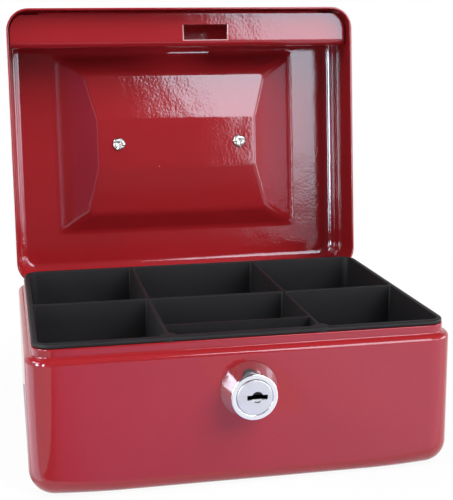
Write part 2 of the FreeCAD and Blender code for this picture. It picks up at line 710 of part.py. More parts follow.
def make_lock_barrel():
    """The die-cast lock housing: a tapered bezel outside, a flatted shank through the wall."""
    body = new_body("lock_barrel")
    half = sketch_on(body, "XY_Plane")
    outline(half, [
        ("Places.plug_head_bore", "-Places.lock_face_y"),
        ("Sizes.bezel_face_radius", "-Places.lock_face_y"),
        ("Sizes.bezel_base_radius", "-Places.half_depth"),
        ("Sizes.barrel_radius", "-Places.half_depth"),
        ("Sizes.barrel_radius", "-Places.barrel_end_y"),
        ("Places.plug_bore", "-Places.barrel_end_y"),
        ("Places.plug_bore", "-Places.barrel_seat_y"),
        ("Places.plug_head_bore", "-Places.barrel_seat_y"),
    ])
    revolve(body, half)
    front = -number("Places.lock_face_y")
    bevel_edges(body, "Sizes.bezel_bevel", lambda box: near(box.YMin, front) and near(box.YMax, front))
    flats = sketch_on(body, "XZ_Plane", "Places.half_depth")
    for sign in ("", "-"):
        outline(flats, [
            (f"{sign}Places.barrel_flat_x", "-Sizes.bezel_base_radius"),
            (f"{sign}Sizes.bezel_base_radius", "-Sizes.bezel_base_radius"),
            (f"{sign}Sizes.bezel_base_radius", "Sizes.bezel_base_radius"),
            (f"{sign}Places.barrel_flat_x", "Sizes.bezel_base_radius"),
        ])
    extrude(body, "Pocket", flats, "Sizes.barrel_reach")
    lift_to_lock(body)
    return body


def make_ring(label, inner, outer, front, gauge):
    """A flat washer about the lock's axis."""
    body = new_body(label)
    ring = sketch_on(body, "XZ_Plane", front)
    circle(ring, "0", "0", outer)
    circle(ring, "0", "0", inner)
    extrude(body, "Pad", ring, gauge, flip=True)
    lift_to_lock(body)
    return body


def make_lock_nut():
    """The hexagon nut that draws the bezel against the wall."""
    body = new_body("lock_nut")
    hexagon = sketch_on(body, "XZ_Plane", "Places.nut_front_y")
    outline(hexagon, [
        ("Places.nut_corner", "0"),
        ("Places.nut_side", "Places.nut_half"),
        ("-Places.nut_side", "Places.nut_half"),
        ("-Places.nut_corner", "0"),
        ("-Places.nut_side", "-Places.nut_half"),
        ("Places.nut_side", "-Places.nut_half"),
    ])
    circle(hexagon, "0", "0", "Places.lock_hole_radius")
    extrude(body, "Pad", hexagon, "Sizes.nut_thickness", flip=True)
    lift_to_lock(body)
    return body


def make_lock_plug():
    """The turning core: stepped head, keyway, and a square tail tapped for the hook's screw."""
    body = new_body("lock_plug")
    half = sketch_on(body, "XY_Plane")
    outline(half, [
        ("0", "-Places.plug_face_y"),
        ("Sizes.plug_head_radius", "-Places.plug_face_y"),
        ("Sizes.plug_head_radius", "-Places.plug_seat_y"),
        ("Sizes.plug_radius", "-Places.plug_seat_y"),
        ("Sizes.plug_radius", "-Places.hook_front_y"),
        ("Places.screw_hole", "-Places.hook_front_y"),
        ("Places.screw_hole", "-Places.screw_well_y"),
        ("0", "-Places.screw_well_y"),
    ])
    revolve(body, half)
    tail = sketch_on(body, "XZ_Plane", "Places.hook_front_y")
    rectangle(tail, "-Places.tail_half", "Places.tail_half", "-Places.tail_half", "Places.tail_half")
    circle(tail, "0", "0", "Places.screw_hole")
    extrude(body, "Pad", tail, "Sizes.hook_gauge", flip=True)
    keyway = sketch_on(body, "XZ_Plane", "Places.plug_face_y")
    rectangle(keyway, "Places.keyway_left", "Places.keyway_right",
              "-Places.keyway_half", "Places.keyway_half")
    extrude(body, "Pocket", keyway, "Sizes.keyway_depth")
    eye = sketch_on(body, "XZ_Plane", "Places.plug_face_y")
    circle(eye, "Sizes.keyway_shift", "0", "Sizes.key_eye_radius")
    extrude(body, "Pocket", eye, "Sizes.key_eye_depth")
    lift_to_lock(body)
    return body


def make_lock_hook():
    """The hook plate, drawn locked with its nose over the strip, then turned a quarter to unlocked."""
    body = new_body("lock_hook")
    hub = sketch_on(body, "XZ_Plane", "Places.hook_front_y")
    circle(hub, "0", "0", "Sizes.hook_hub_radius")
    extrude(body, "Pad", hub, "Sizes.hook_gauge", flip=True)
    arm = sketch_on(body, "XZ_Plane", "Places.hook_front_y", turn="-Sizes.hook_arm_angle")
    rectangle(arm, "-Places.arm_half", "Places.arm_half", "0", "Places.hook_arm")
    extrude(body, "Pad", arm, "Sizes.hook_gauge", flip=True)
    nose = sketch_on(body, "XZ_Plane", "Places.hook_front_y")
    ring_sector(nose)
    extrude(body, "Pad", nose, "Sizes.hook_gauge", flip=True)
    hole = sketch_on(body, "XZ_Plane", "Places.hook_front_y")
    rectangle(hole, "-Places.tail_hole_half", "Places.tail_hole_half",
              "-Places.tail_hole_half", "Places.tail_hole_half")
    cut_through(body, hole)
    body.Placement.Rotation = FreeCAD.Rotation(FreeCAD.Vector(0, 1, 0), QUARTER_TURN)
    lift_to_lock(body)
    return body


def ring_sector(sketch):
    """The hook's nose: a piece of ring about the lock's axis, from its tip round to its arm."""
    ends = []
    for radius, tip, end in (("hook_inner", "-Places.nose_tip_in", "Places.nose_end_in"),
                             ("hook_outer", "-Places.nose_tip_out", "Places.nose_end_out")):
        reach = number(f"Places.{radius}")
        start, middle, finish = [FreeCAD.Vector(x, (reach ** 2 - x ** 2) ** 0.5, 0)
                                 for x in (number(end), 0.0, number(tip))]
        arc = sketch.addGeometry(Part.Arc(start, middle, finish))
        sketch.addConstraint(Sketcher.Constraint("Coincident", arc, 3, -1, 1))
        index = sketch.addConstraint(Sketcher.Constraint("Radius", arc, reach))
        sketch.setExpression(f"Constraints[{index}]", f"Places.{radius}")
        for point, name in ((1, end), (2, tip)):
            index = sketch.addConstraint(Sketcher.Constraint("DistanceX", -1, 1, arc, point, number(name)))
            sketch.setExpression(f"Constraints[{index}]", name)
        ends.append((arc, start, finish))
    (inner, inner_start, inner_finish), (outer, outer_start, outer_finish) = ends
    for point, near_end, far_end in ((1, inner_start, outer_start), (2, inner_finish, outer_finish)):
        line = sketch.addGeometry(Part.LineSegment(near_end, far_end))
        sketch.addConstraint(Sketcher.Constraint("Coincident", line, 1, inner, point))
        sketch.addConstraint(Sketcher.Constraint("Coincident", line, 2, outer, point))


def make_hook_screw():
    """The slotted screw that holds the hook on the core's tail."""
    body = new_body("hook_screw")
    half = sketch_on(body, "XY_Plane")
    outline(half, [
        ("0", "-Places.screw_tip_y"),
        ("Sizes.screw_radius", "-Places.screw_tip_y"),
        ("Sizes.screw_radius", "-Places.washer_back_y"),
        ("Sizes.screw_head_radius", "-Places.washer_back_y"),
        ("Sizes.screw_head_radius", "-Places.screw_head_y"),
        ("0", "-Places.screw_head_y"),
    ])
    revolve(body, half)
    slot = sketch_on(body, "XZ_Plane", "Places.screw_head_y")
    rectangle(slot, "-Sizes.screw_head_radius", "Sizes.screw_head_radius",
              "-Places.screw_slot_half", "Places.screw_slot_half")
    extrude(body, "Pocket", slot, "Sizes.screw_slot_depth", flip=True)
    lift_to_lock(body)
    return body


def make_handle_post(label, side):
    """A turned post staked through the lid, drilled crosswise for the handle's end."""
    body = new_body(label)
    half = sketch_on(body, "XZ_Plane")
    outline(half, [
        ("0", "-Places.post_tail_z"),
        ("Sizes.post_tail_radius", "-Places.post_tail_z"),
        ("Sizes.post_tail_radius", "-Sizes.sheet_gauge"),
        ("Sizes.post_shank_radius", "-Sizes.sheet_gauge"),
        ("Sizes.post_shank_radius", "0"),
        ("Sizes.post_collar_radius", "0"),
        ("Sizes.post_collar_radius", "Sizes.post_collar_height"),
        ("Sizes.post_radius", "Sizes.post_collar_height"),
        ("Sizes.post_radius", "Places.post_top"),
        ("0", "Places.post_top"),
    ])
    revolve(body, half)
    tail = -number("Places.post_tail_z")
    top = number("Places.post_top")
    bevel_edges(body, "Sizes.post_bevel", lambda box: near(box.ZMin, box.ZMax)
                and (near(box.ZMin, tail) or near(box.ZMin, top)))
    eye = sketch_on(body, "YZ_Plane")
    circle(eye, "0", "Places.bail_height", "Places.bail_bore")
    cut_through(body, eye)
    open_with_lid(body, f"{side}Places.post_x", "-Sizes.post_setback", "Places.recess_floor_z")
    return body


def make_handle_bail():
    """The wire handle: two ends turned in through the posts, hanging plumb from the open lid."""
    body = new_body("handle_bail")
    path = sketch_on(body, "XZ_Plane")
    bail_path(path)
    section = sketch_on(body, "YZ_Plane", "-Places.bail_start")
    circle(section, "0", "0", "Sizes.bail_radius")
    doc.recompute()
    wire = body.newObject("PartDesign::AdditivePipe", "handle_bail_pipe")
    wire.Profile = section
    wire.Spine = (path, [f"Edge{index}" for index in range(1, path.GeometryCount + 1)])
    doc.recompute()
    pivot = f"{LID_TURN} * vector(0; -Sizes.post_setback; Places.bail_axis_z)"
    body.setExpression("Placement", f"placement({pivot}; rotation(vector(1; 0; 0); 0))")
    doc.recompute()
    return body


def bail_path(sketch):
    """The middle line of the wire: in through a post, out to a leg, down, across and back up."""
    start = number("Places.bail_start")
    leg = number("Places.bail_leg_x")
    reach = number("Sizes.bail_reach")
    bend = number("Sizes.bail_bend")
    grip = number("Sizes.bail_grip_bend")
    middle = 0.5 ** 0.5

    def point(x, z):
        return FreeCAD.Vector(x, z, 0)
    shapes = [
        Part.LineSegment(point(-start, 0), point(bend - leg, 0)),
        Part.Arc(point(bend - leg, 0), point(bend - leg - bend * middle, bend * middle - bend),
                 point(-leg, -bend)),
        Part.LineSegment(point(-leg, -bend), point(-leg, grip - reach)),
        Part.Arc(point(-leg, grip - reach), point(grip - leg - grip * middle, grip - reach - grip * middle),
                 point(grip - leg, -reach)),
        Part.LineSegment(point(grip - leg, -reach), point(leg - grip, -reach)),
        Part.Arc(point(leg - grip, -reach), point(leg - grip + grip * middle, grip - reach - grip * middle),
                 point(leg, grip - reach)),
        Part.LineSegment(point(leg, grip - reach), point(leg, -bend)),
        Part.Arc(point(leg, -bend), point(leg - bend + bend * middle, bend * middle - bend),
                 point(leg - bend, 0)),
        Part.LineSegment(point(leg - bend, 0), point(start, 0)),
    ]
    for shape in shapes:
        sketch.addGeometry(shape)
    # Every arc is drawn anticlockwise, as the path itself runs.
    for index in range(len(shapes) - 1):
        sketch.addConstraint(Sketcher.Constraint("Tangent", index, 2, index + 1, 1))
    for arc, name in ((1, "bail_bend"), (3, "bail_grip_bend"), (5, "bail_grip_bend"), (7, "bail_bend")):
        index = sketch.addConstraint(Sketcher.Constraint("Radius", arc, number(f"Sizes.{name}")))
        sketch.setExpression(f"Constraints[{index}]", f"Sizes.{name}")
    pin_point(sketch, 0, 1, "-Places.bail_start", "0")
    pin_point(sketch, 8, 2, "Places.bail_start", "0")
    for line in (0, 4):
        sketch.addConstraint(Sketcher.Constraint("Horizontal", line))
    for line, kind, name in ((2, "DistanceX", "-Places.bail_leg_x"), (6, "DistanceX", "Places.bail_leg_x"),
                             (4, "DistanceY", "-Sizes.bail_reach")):
        index = sketch.addConstraint(Sketcher.Constraint(kind, -1, 1, line, 1, number(name)))
        sketch.setExpression(f"Constraints[{index}]", name)


fill_sheets()
pieces = [
    make_body_shell(),
    make_lid_shell(),
    make_lock_strip(),
    make_coin_tray(),
    make_hinge_leaf("hinge_body_leaf_left", "-", False),
    make_hinge_leaf("hinge_body_leaf_right", "", False),
    make_hinge_leaf("hinge_lid_leaf_left", "-", True),
    make_hinge_leaf("hinge_lid_leaf_right", "", True),
    make_hinge_pin("hinge_pin_left", "-"),
    make_hinge_pin("hinge_pin_right", ""),
    make_lock_barrel(),
    make_ring("lock_washer", "Places.lock_hole_radius", "Sizes.washer_radius", "Places.washer_front_y",
              "Sizes.washer_gauge"),
    make_lock_nut(),
    make_lock_plug(),
    make_lock_hook(),
    make_ring("hook_washer", "Places.screw_hole", "Sizes.spring_washer_radius", "Places.hook_back_y",
              "Sizes.spring_washer_gauge"),
    make_hook_screw(),
    make_handle_post("handle_post_left", "-"),
    make_handle_post("handle_post_right", ""),
    make_handle_bail(),
]
doc.recompute()

for item in doc.Objects:
    if {"Invalid", "Error"} & set(item.State):
        raise RuntimeError(f"{item.Label} did not build: {item.State}")
os.makedirs("parts", exist_ok=True)
for piece in pieces:
    shape = piece.Shape
    if shape.isNull() or not shape.isValid():
        raise RuntimeError(f"{piece.Label} has no valid shape")
    shape.exportStep(f"parts/{piece.Label}.step")
    print(piece.Label, len(shape.Solids), round(shape.Volume, 1))
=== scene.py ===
# %% [markdown]
# # A red cash box, standing open
#
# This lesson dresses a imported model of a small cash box. The model already holds every piece at its
# true place and size, so we never move anything: we only make finer surfaces, give them finishes,
# and light them the way a shop would for a catalogue picture.

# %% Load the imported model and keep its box
import bpy
import bmesh
import json
import math
import numpy as np
from mathutils import Matrix, Vector


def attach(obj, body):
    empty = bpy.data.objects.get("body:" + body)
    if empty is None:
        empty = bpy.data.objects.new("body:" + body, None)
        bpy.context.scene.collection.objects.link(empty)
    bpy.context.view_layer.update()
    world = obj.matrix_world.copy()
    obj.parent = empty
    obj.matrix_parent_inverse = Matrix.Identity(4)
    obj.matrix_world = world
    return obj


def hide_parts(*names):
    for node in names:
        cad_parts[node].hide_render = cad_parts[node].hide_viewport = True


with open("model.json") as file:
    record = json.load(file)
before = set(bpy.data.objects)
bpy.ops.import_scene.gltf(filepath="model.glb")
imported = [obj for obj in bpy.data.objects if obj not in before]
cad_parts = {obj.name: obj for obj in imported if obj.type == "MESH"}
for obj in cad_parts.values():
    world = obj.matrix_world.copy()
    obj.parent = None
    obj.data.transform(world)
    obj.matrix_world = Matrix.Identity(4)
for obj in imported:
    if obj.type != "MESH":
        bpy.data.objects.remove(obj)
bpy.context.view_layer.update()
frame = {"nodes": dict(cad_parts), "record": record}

# %% [markdown]
# ## Looking from where the photographer stood
#
# The camera could be nudged by eye, but a picture of a box has many straight edges, so its place was
# worked out from them instead. The three unit vectors below are the camera's own right, up and
# viewing directions; put side by side they make the camera's matrix.

# %% Camera
EYE = Vector((-0.07901, -0.41329, 0.16009))
YAW, PITCH, ROLL = math.radians(11.396), math.radians(11.791), math.radians(-0.397)
FOCAL_PIXELS, PICTURE_HEIGHT = 1100.34, 500

view_line = Vector((math.sin(YAW) * math.cos(PITCH), math.cos(YAW) * math.cos(PITCH), -math.sin(PITCH)))
level_right = Vector((math.cos(YAW), -math.sin(YAW), 0))
level_up = level_right.cross(view_line)
right = level_right * math.cos(ROLL) + level_up * math.sin(ROLL)
up = level_up * math.cos(ROLL) - level_right * math.sin(ROLL)
camera = bpy.data.objects.new("camera", bpy.data.cameras.new("camera"))
camera.matrix_world = Matrix((right, up, -view_line)).transposed().to_4x4()
camera.location = EYE
camera.data.sensor_fit = "VERTICAL"
camera.data.sensor_height = 36
camera.data.lens = 36 * FOCAL_PIXELS / PICTURE_HEIGHT
camera.data.clip_start = 0.01
bpy.context.collection.objects.link(camera)
bpy.context.scene.camera = camera
bpy.context.scene.view_settings.view_transform = "Standard"
print("camera lens", round(camera.data.lens, 2), "mm")

# %% [markdown]
# ## Helpers: grids of points become pieces
#
# Every new piece is one or more grids of points. A grid could be filled point by point, but whole
# arrays are faster and read like the formula. The helpers below turn grids into quads, weld the
# seams, and hang the piece on the body it moves with. All numbers are in millimetres until the last step.

# %% Grids to meshes
MM = 0.001
slot_of_piece = {}


def quads(rows, columns, start, closed):
    """Corner numbers of every cell of a rows x columns grid.

    A closed grid also joins its last column to its first.
    """
    row = np.arange(rows - 1)[:, None]
    column = np.arange(columns if closed else columns - 1)[None, :]
    following = (column + 1) % columns
    a, b = row * columns + column, row * columns + following
    return np.stack([a, b, b + columns, a + columns], axis=-1).reshape(-1, 4) + start


def make_piece(name, grids, body, slot, nodes=(), loose_faces=(), flat_levels=(), crease=38):
    """Welds grids of points into one closed piece.

    grids holds (points, closed) pairs, loose_faces holds (points, quads) pairs, and flat_levels names
    heights at which open edges are joined by a flat face.
    """
    points, faces, count = [], [], 0
    for grid, closed in grids:
        rows, columns = grid.shape[:2]
        points.append(grid.reshape(-1, 3))
        faces.append(quads(rows, columns, count, closed))
        count += rows * columns
    for vertices, cells in loose_faces:
        points.append(vertices.reshape(-1, 3))
        faces.append(cells + count)
        count += len(points[-1])
    mesh = bpy.data.meshes.new(name)
    mesh.from_pydata((np.concatenate(points) * MM).tolist(), [], np.concatenate(faces).tolist())
    shape = bmesh.new()
    shape.from_mesh(mesh)
    bmesh.ops.remove_doubles(shape, verts=shape.verts, dist=2e-6)
    bmesh.ops.dissolve_degenerate(shape, edges=shape.edges, dist=1e-7)
    for level in flat_levels:
        rim = [edge for edge in shape.edges if edge.is_boundary
               and all(abs(vertex.co.z - level * MM) < 1e-6 for vertex in edge.verts)]
        bmesh.ops.triangle_fill(shape, edges=rim, use_beauty=True)
    bmesh.ops.recalc_face_normals(shape, faces=shape.faces)
    shape.to_mesh(mesh)
    open_edges = sum(edge.is_boundary for edge in shape.edges)
    shape.free()
    mesh.shade_smooth()
    mesh.set_sharp_from_angle(angle=math.radians(crease))
    piece = bpy.data.objects.new(name, mesh)
    bpy.context.collection.objects.link(piece)
    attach(piece, body)
    slot_of_piece[name] = slot
    if nodes:
        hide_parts(*nodes)
    print(f"{name}: {len(mesh.polygons)} faces, {open_edges} open edges")
    return piece


# %% [markdown]
# ## The drawn steel shells
#
# A deep-drawn box has the same rounded plan all the way up, only wider or narrower. A box modelled with
# bevels would do, but its plan is better written as a formula: a small core rectangle pushed outwards by
# a radius. Its section, from the rim down the wall and round the bottom bend, is a list of radius and
# height pairs. Multiplying the two gives the whole wall at once.

# %% Plan and section of a drawn box
HALF_WIDTH, HALF_DEPTH, CORNER = 76.0, 59.0, 9.5
GAUGE = 0.8
CORE_X, CORE_Y = HALF_WIDTH - CORNER, HALF_DEPTH - CORNER
CORNER_STEPS = 14


def plan_loop(xs, ys, steps=CORNER_STEPS):
    """The core rectangle's outline and the outward direction at each of its points.

    At a corner the direction fans through a right angle.
    """
    def side(points_x, points_y, direction):
        size = max(np.size(points_x), np.size(points_y))
        base = np.stack([np.broadcast_to(points_x, size), np.broadcast_to(points_y, size)], axis=1)
        return base, np.tile(direction, (size, 1))

    def fan(x, y, start):
        angle = np.radians(start + np.linspace(0, 90, steps + 1)[1:-1])
        return np.tile([x, y], (steps - 1, 1)), np.stack([np.cos(angle), np.sin(angle)], axis=1)

    runs = [side(xs, ys[0], (0, -1)), fan(xs[-1], ys[0], -90),
            side(xs[-1], ys, (1, 0)), fan(xs[-1], ys[-1], 0),
            side(xs[::-1], ys[-1], (0, 1)), fan(xs[0], ys[-1], 90),
            side(xs[0], ys[::-1], (-1, 0)), fan(xs[0], ys[0], 180)]
    return np.concatenate([run[0] for run in runs]), np.concatenate([run[1] for run in runs])


def swept_wall(loop, section):
    """Every section point (radius, height) carried round the plan: core point + radius x outward direction.

    The section is a list of points, or a list for every column of the plan.
    """
    base, outward = loop
    section = section if section.ndim == 3 else section[:, None]
    plan = base[None] + section[..., :1] * outward[None]
    return np.concatenate([plan, np.broadcast_to(section[..., 1:], plan.shape[:2] + (1,))], axis=2)


def bend(centre, radius, start, stop, steps, rise=None):
    """Points of a round bend in a section, by angle in degrees; an oval one has its own rise."""
    angle = np.radians(np.linspace(start, stop, steps + 1))
    rise = radius if rise is None else rise
    return np.stack([centre[0] + radius * np.cos(angle), centre[1] + rise * np.sin(angle)], axis=1)


def sheet_faces(front, back, keep, closed=True):
    """Two matching grids as one sheet: kept cells on both skins, and a strip along every edge of a gap.

    A closed grid runs round a plan, and its first and last rows meet other faces; an open one is edged
    all round.
    """
    rows, columns = front.shape[:2]
    size = rows * columns
    cells = quads(rows, columns, 0, closed)[keep.reshape(-1)]
    if closed:
        row, column = np.nonzero(keep != np.roll(keep, 1, axis=1))
        ends = np.concatenate([keep[:1], keep, keep[-1:]])
    else:
        sides = np.pad(keep, ((0, 0), (1, 1)))
        row, column = np.nonzero(sides[:, 1:] != sides[:, :-1])
        ends = np.pad(keep, ((1, 1), (0, 0)))
    low, high = row * columns + column, (row + 1) * columns + column
    row, column = np.nonzero(ends[1:] != ends[:-1])
    low = np.concatenate([low, row * columns + column])
    high = np.concatenate([high, row * columns + (column + 1) % columns])
    strip = np.stack([low, high, high + size, low + size], axis=1)
    points = np.concatenate([front.reshape(-1, 3), back.reshape(-1, 3)])
    return points, np.concatenate([cells, cells[:, ::-1] + size, strip])


def spread(*stops):
    """Points from stop to stop, each (end, count) pair adding that many even steps."""
    values = [np.array([stops[0]])]
    for end, count in stops[1:]:
        values.append(np.linspace(values[-1][-1], end, count + 1)[1:])
    return np.concatenate(values)


HINGE_NEAR, HINGE_FAR = 29.6, 60.4
xs = spread(-CORE_X, (-HINGE_FAR, 3), (-HINGE_NEAR, 8), (HINGE_NEAR, 12), (HINGE_FAR, 8), (CORE_X, 3))
ys = np.linspace(-CORE_Y, CORE_Y, 21)
print("plan of", len(xs), "by", len(ys), "points")

# %% [markdown]
# ### The box
#
# From the top down, the section runs over the cut edge of the neck, down the neck, out over the soft
# shoulder that the lid lands on, down the wall and round the bottom bend. A drawn sheet can't turn two
# tight bends at once, so the bottom bend opens up towards the left and right sides. The inside is the
# same line moved in by one sheet gauge. Two windows at the back let the hinge knuckles turn.

# %% Box section
NECK, NECK_TOP, WALL_TOP, SHOULDER = 7.1, 53.0, 49.7, 1.9
WINDOW_LOW, WINDOW_HIGH = 46.8, 50.25
loop = plan_loop(xs, ys)
from_side = CORE_X - np.abs(loop[0][:, 0])
bottom_bend = 6.0 + 2.4 * np.clip(1 - from_side / 24.0, 0, 1) ** 2


def box_skin(inset):
    """The upper section, then for each column a quarter bend of its own radius; inset moves it inwards."""
    lip = NECK - 0.25 if inset == 0 else NECK - 0.55
    lip_turn = (70, 0) if inset == 0 else (110, 180)
    upper = np.concatenate([
        [[NECK - 0.4, NECK_TOP], [lip, NECK_TOP]], bend((lip, NECK_TOP - 0.25), 0.25, *lip_turn, 3),
        [[NECK - inset, 52.4], [NECK - inset, 50.6]],
        bend((NECK + 0.6, WALL_TOP + 0.6), 0.6 + inset, 180, 270, 6),
        bend((7.75, WALL_TOP - SHOULDER), 1.75 - inset, 90, 0, 12, rise=SHOULDER - inset),
        [[CORNER - inset, height] for height in (WINDOW_LOW, 40.0, 20.0, 10.0)]])
    angle = np.radians(np.linspace(0, -90, 15))[:, None]
    across = CORNER - bottom_bend + (bottom_bend - inset) * np.cos(angle)
    lower = np.stack([across, bottom_bend + (bottom_bend - inset) * np.sin(angle)], axis=-1)
    flat = np.stack([CORNER - bottom_bend - 0.3, np.full_like(bottom_bend, inset)], axis=-1)[None]
    return np.concatenate([np.repeat(upper[:, None], len(bottom_bend), axis=1), lower, flat])


print("bottom bend from", bottom_bend.min(), "to", bottom_bend.max(), "mm")

# %% Box shell
def hinge_gaps(loop, heights, low, high):
    """True for every cell of a wall, but False in the two hinge windows at the back between two heights."""
    middle = (loop[0] + np.roll(loop[0], -1, axis=0)) / 2
    across = np.abs(middle[:, 0])
    at_back = (middle[:, 1] > CORE_Y - 0.01) & (across > HINGE_NEAR) & (across < HINGE_FAR)
    height = (heights[1:] + heights[:-1]) / 2
    inside = (height > low) & (height < high)
    return ~(inside[:, None] & at_back[None])


outside, inside = box_skin(0.0), box_skin(GAUGE)
wall = sheet_faces(swept_wall(loop, outside), swept_wall(loop, inside),
                   hinge_gaps(loop, outside[:, 0, 1], WINDOW_LOW, WINDOW_HIGH))
make_piece("box_shell", [], "box", "red_paint", ["body_shell"], [wall], [0.0, GAUGE])

# %% [markdown]
# ### The lid
#
# The lid's wall is another swept section, but its top is pressed into a hand recess. A recess could be
# carved with cuts and bevels; here it is a height over the plan: the lowest of several tilted planes,
# with a soft minimum where two planes meet, which is what a press tool's rounded edge leaves. The lid is
# worked out shut and then turned about its hinge line, so that it stands open as in the picture.

# %% Recess as a soft minimum of planes
RIM, TOP = 49.5, 80.0
HINGE_Y, HINGE_Z, OPEN_ANGLE = 58.4, 48.8, math.radians(95)
RECESS_DEEP, BANK_DEEP = 8.0, 5.6
EDGE_LEFT, EDGE_RIGHT, EDGE_FRONT, EDGE_REAR = 55.0, 54.5, 40.3, 39.5
RUN_LEFT, RUN_RIGHT, RUN_FRONT, RUN_REAR = 17.8, 19.2, 8.8, 8.3
SLOPE_FRONT, SLOPE_REAR = 20.1, 20.4


def soft_least(a, b, blend):
    """The lesser of two heights, rounded where they cross: least - (blend - difference)^2 / (4 blend)."""
    overlap = np.clip(blend - np.abs(a - b), 0, None)
    return np.minimum(a, b) - overlap ** 2 / (4 * blend)


def recess_depth(x, y):
    """Depth of the recess below the lid's top: the soft least of its banks, slopes and floor.

    Each bank starts at its edge and falls over its run; the front and rear go on as gentler slopes.
    The depth is never above the top.
    """
    side = np.minimum((EDGE_LEFT + x) * RECESS_DEEP / RUN_LEFT, (EDGE_RIGHT - x) * RECESS_DEEP / RUN_RIGHT)
    from_front, from_rear = y + EDGE_FRONT, EDGE_REAR - y
    front_bank, rear_bank = from_front * BANK_DEEP / RUN_FRONT, from_rear * BANK_DEEP / RUN_REAR
    front_slope = BANK_DEEP + (from_front - RUN_FRONT) * (RECESS_DEEP - BANK_DEEP) / SLOPE_FRONT
    rear_slope = BANK_DEEP + (from_rear - RUN_REAR) * (RECESS_DEEP - BANK_DEEP) / SLOPE_REAR
    floor = np.full_like(x, RECESS_DEEP)
    long_way = soft_least(soft_least(front_slope, rear_slope, 0.05), floor, 0.06)
    middle = soft_least(side, long_way, 0.4)
    banks = soft_least(soft_least(front_bank, side, 2.2), soft_least(rear_bank, side, 1.8), 0.4)
    steep = soft_least(front_bank, rear_bank, 0.4)
    edge_front = soft_least(front_bank, long_way, 0.7)
    edge_rear = soft_least(rear_bank, long_way, 0.8)
    depth = np.minimum.reduce([middle, banks, steep, edge_front, edge_rear])
    return -soft_least(-depth, np.zeros_like(x), 1.1)


def turn_open(points):
    """Turns points of the shut lid about the hinge line to where it stands open."""
    y, z = points[..., 1] - HINGE_Y, points[..., 2] - HINGE_Z
    turned_y = HINGE_Y + y * math.cos(OPEN_ANGLE) + z * math.sin(OPEN_ANGLE)
    turned_z = HINGE_Z - y * math.sin(OPEN_ANGLE) + z * math.cos(OPEN_ANGLE)
    return np.stack([points[..., 0], turned_y, turned_z], axis=-1)


half = spread(0.0, (HINGE_NEAR, 14), (33.0, 6), (39.5, 18), (42.0, 4), (51.5, 10), (57.5, 20),
              (HINGE_FAR, 4), (CORE_X, 3))
lid_xs = np.concatenate([-half[:0:-1], half])
lid_ys = spread(-CORE_Y, (-44.0, 4), (-37.0, 28), (-33.0, 8), (-28.0, 20), (-12.0, 12), (-9.5, 10),
                (8.5, 10), (11.5, 10), (29.0, 12), (33.0, 16), (36.5, 8), (42.5, 22), (CORE_Y, 5))
grid_x, grid_y = np.meshgrid(lid_xs, lid_ys)
depth = recess_depth(grid_x, grid_y)
outer_top = np.stack([grid_x, grid_y, TOP - depth], axis=-1)
slope_y, slope_x = np.gradient(depth, lid_ys, lid_xs)
steepness = np.sqrt(1 + slope_x ** 2 + slope_y ** 2)
normal = np.stack([slope_x, slope_y, np.ones_like(depth)], axis=-1) / steepness[..., None]
inner_top = outer_top - GAUGE * normal
print("recess", round(float(depth.max()), 2), "mm deep")

# %% Lid shell
TOP_BEND, LID_WINDOW = 5.5, 50.8


def lid_section(inset):
    """From the cut edge up the wall and round the top bend; inset moves it inwards."""
    lip = CORNER - 0.25 if inset == 0 else CORNER - 0.55
    lip_turn = (-70, 0) if inset == 0 else (-110, -180)
    return np.concatenate([
        [[CORNER - 0.4, RIM], [lip, RIM]], bend((lip, RIM + 0.25), 0.25, *lip_turn, 3),
        [[CORNER - inset, height] for height in (50.2, LID_WINDOW, 60.0, 74.2)],
        bend((CORNER - TOP_BEND, TOP - TOP_BEND), TOP_BEND - inset, 0, 90, 14),
        [[3.8, TOP - inset], [0.0, TOP - inset]]])


lid_loop = plan_loop(lid_xs, lid_ys)
lid_sections = [lid_section(0.0), lid_section(GAUGE)]
lid_skins = [turn_open(swept_wall(lid_loop, section)) for section in lid_sections]
lid_wall = sheet_faces(*lid_skins, hinge_gaps(lid_loop, lid_sections[0][:, 1], RIM - 1, LID_WINDOW))
lid_tops = [(turn_open(top), False) for top in (outer_top, inner_top)]
make_piece("lid_pressing", lid_tops, "lid", "red_paint", ["lid_shell"], [lid_wall])

# %% [markdown]
# ### The lock strip
#
# A folded strip spans the front of the lid. It could be cut from a plate; as a grid, its rows follow the
# fold and its columns run along the lid, the end columns bunching up to follow the lid's round corners.
# The slot for the lock's hook is simply a patch of cells left out.

# %% Lock strip
STRIP_Z, STRIP_FRONT, STRIP_BACK, STRIP_HALF, WELD_HALF = 55.4, -58.2, -42.8, 74.5, 62.0
FLANGE_TOP, FRONT_BEND, REAR_BEND = 61.4, 1.5, 2.6
SLOT_X, SLOT_Y = (0.7, 20.3), (-52.2, -45.6)
flat_y = np.unique(np.append(spread(-56.6, (-49.5, 14), (SLOT_Y[1], 3), (-45.4, 1)), SLOT_Y[0]))


def strip_fold(inset):
    """The fold in section: down the front flange, round a bend, back along the flat and up again."""
    front_bend = bend((STRIP_FRONT + FRONT_BEND, STRIP_Z + FRONT_BEND), FRONT_BEND - inset, 180, 265, 8)
    flat = np.stack([flat_y, np.full_like(flat_y, STRIP_Z + inset)], axis=1)
    rear_bend = bend((-45.4, STRIP_Z + REAR_BEND), REAR_BEND - inset, 279, 360, 9)
    return np.concatenate([[[STRIP_FRONT + inset, FLANGE_TOP], [STRIP_FRONT + inset, 57.2]], front_bend,
                           flat, rear_bend, [[STRIP_BACK - inset, FLANGE_TOP]]])


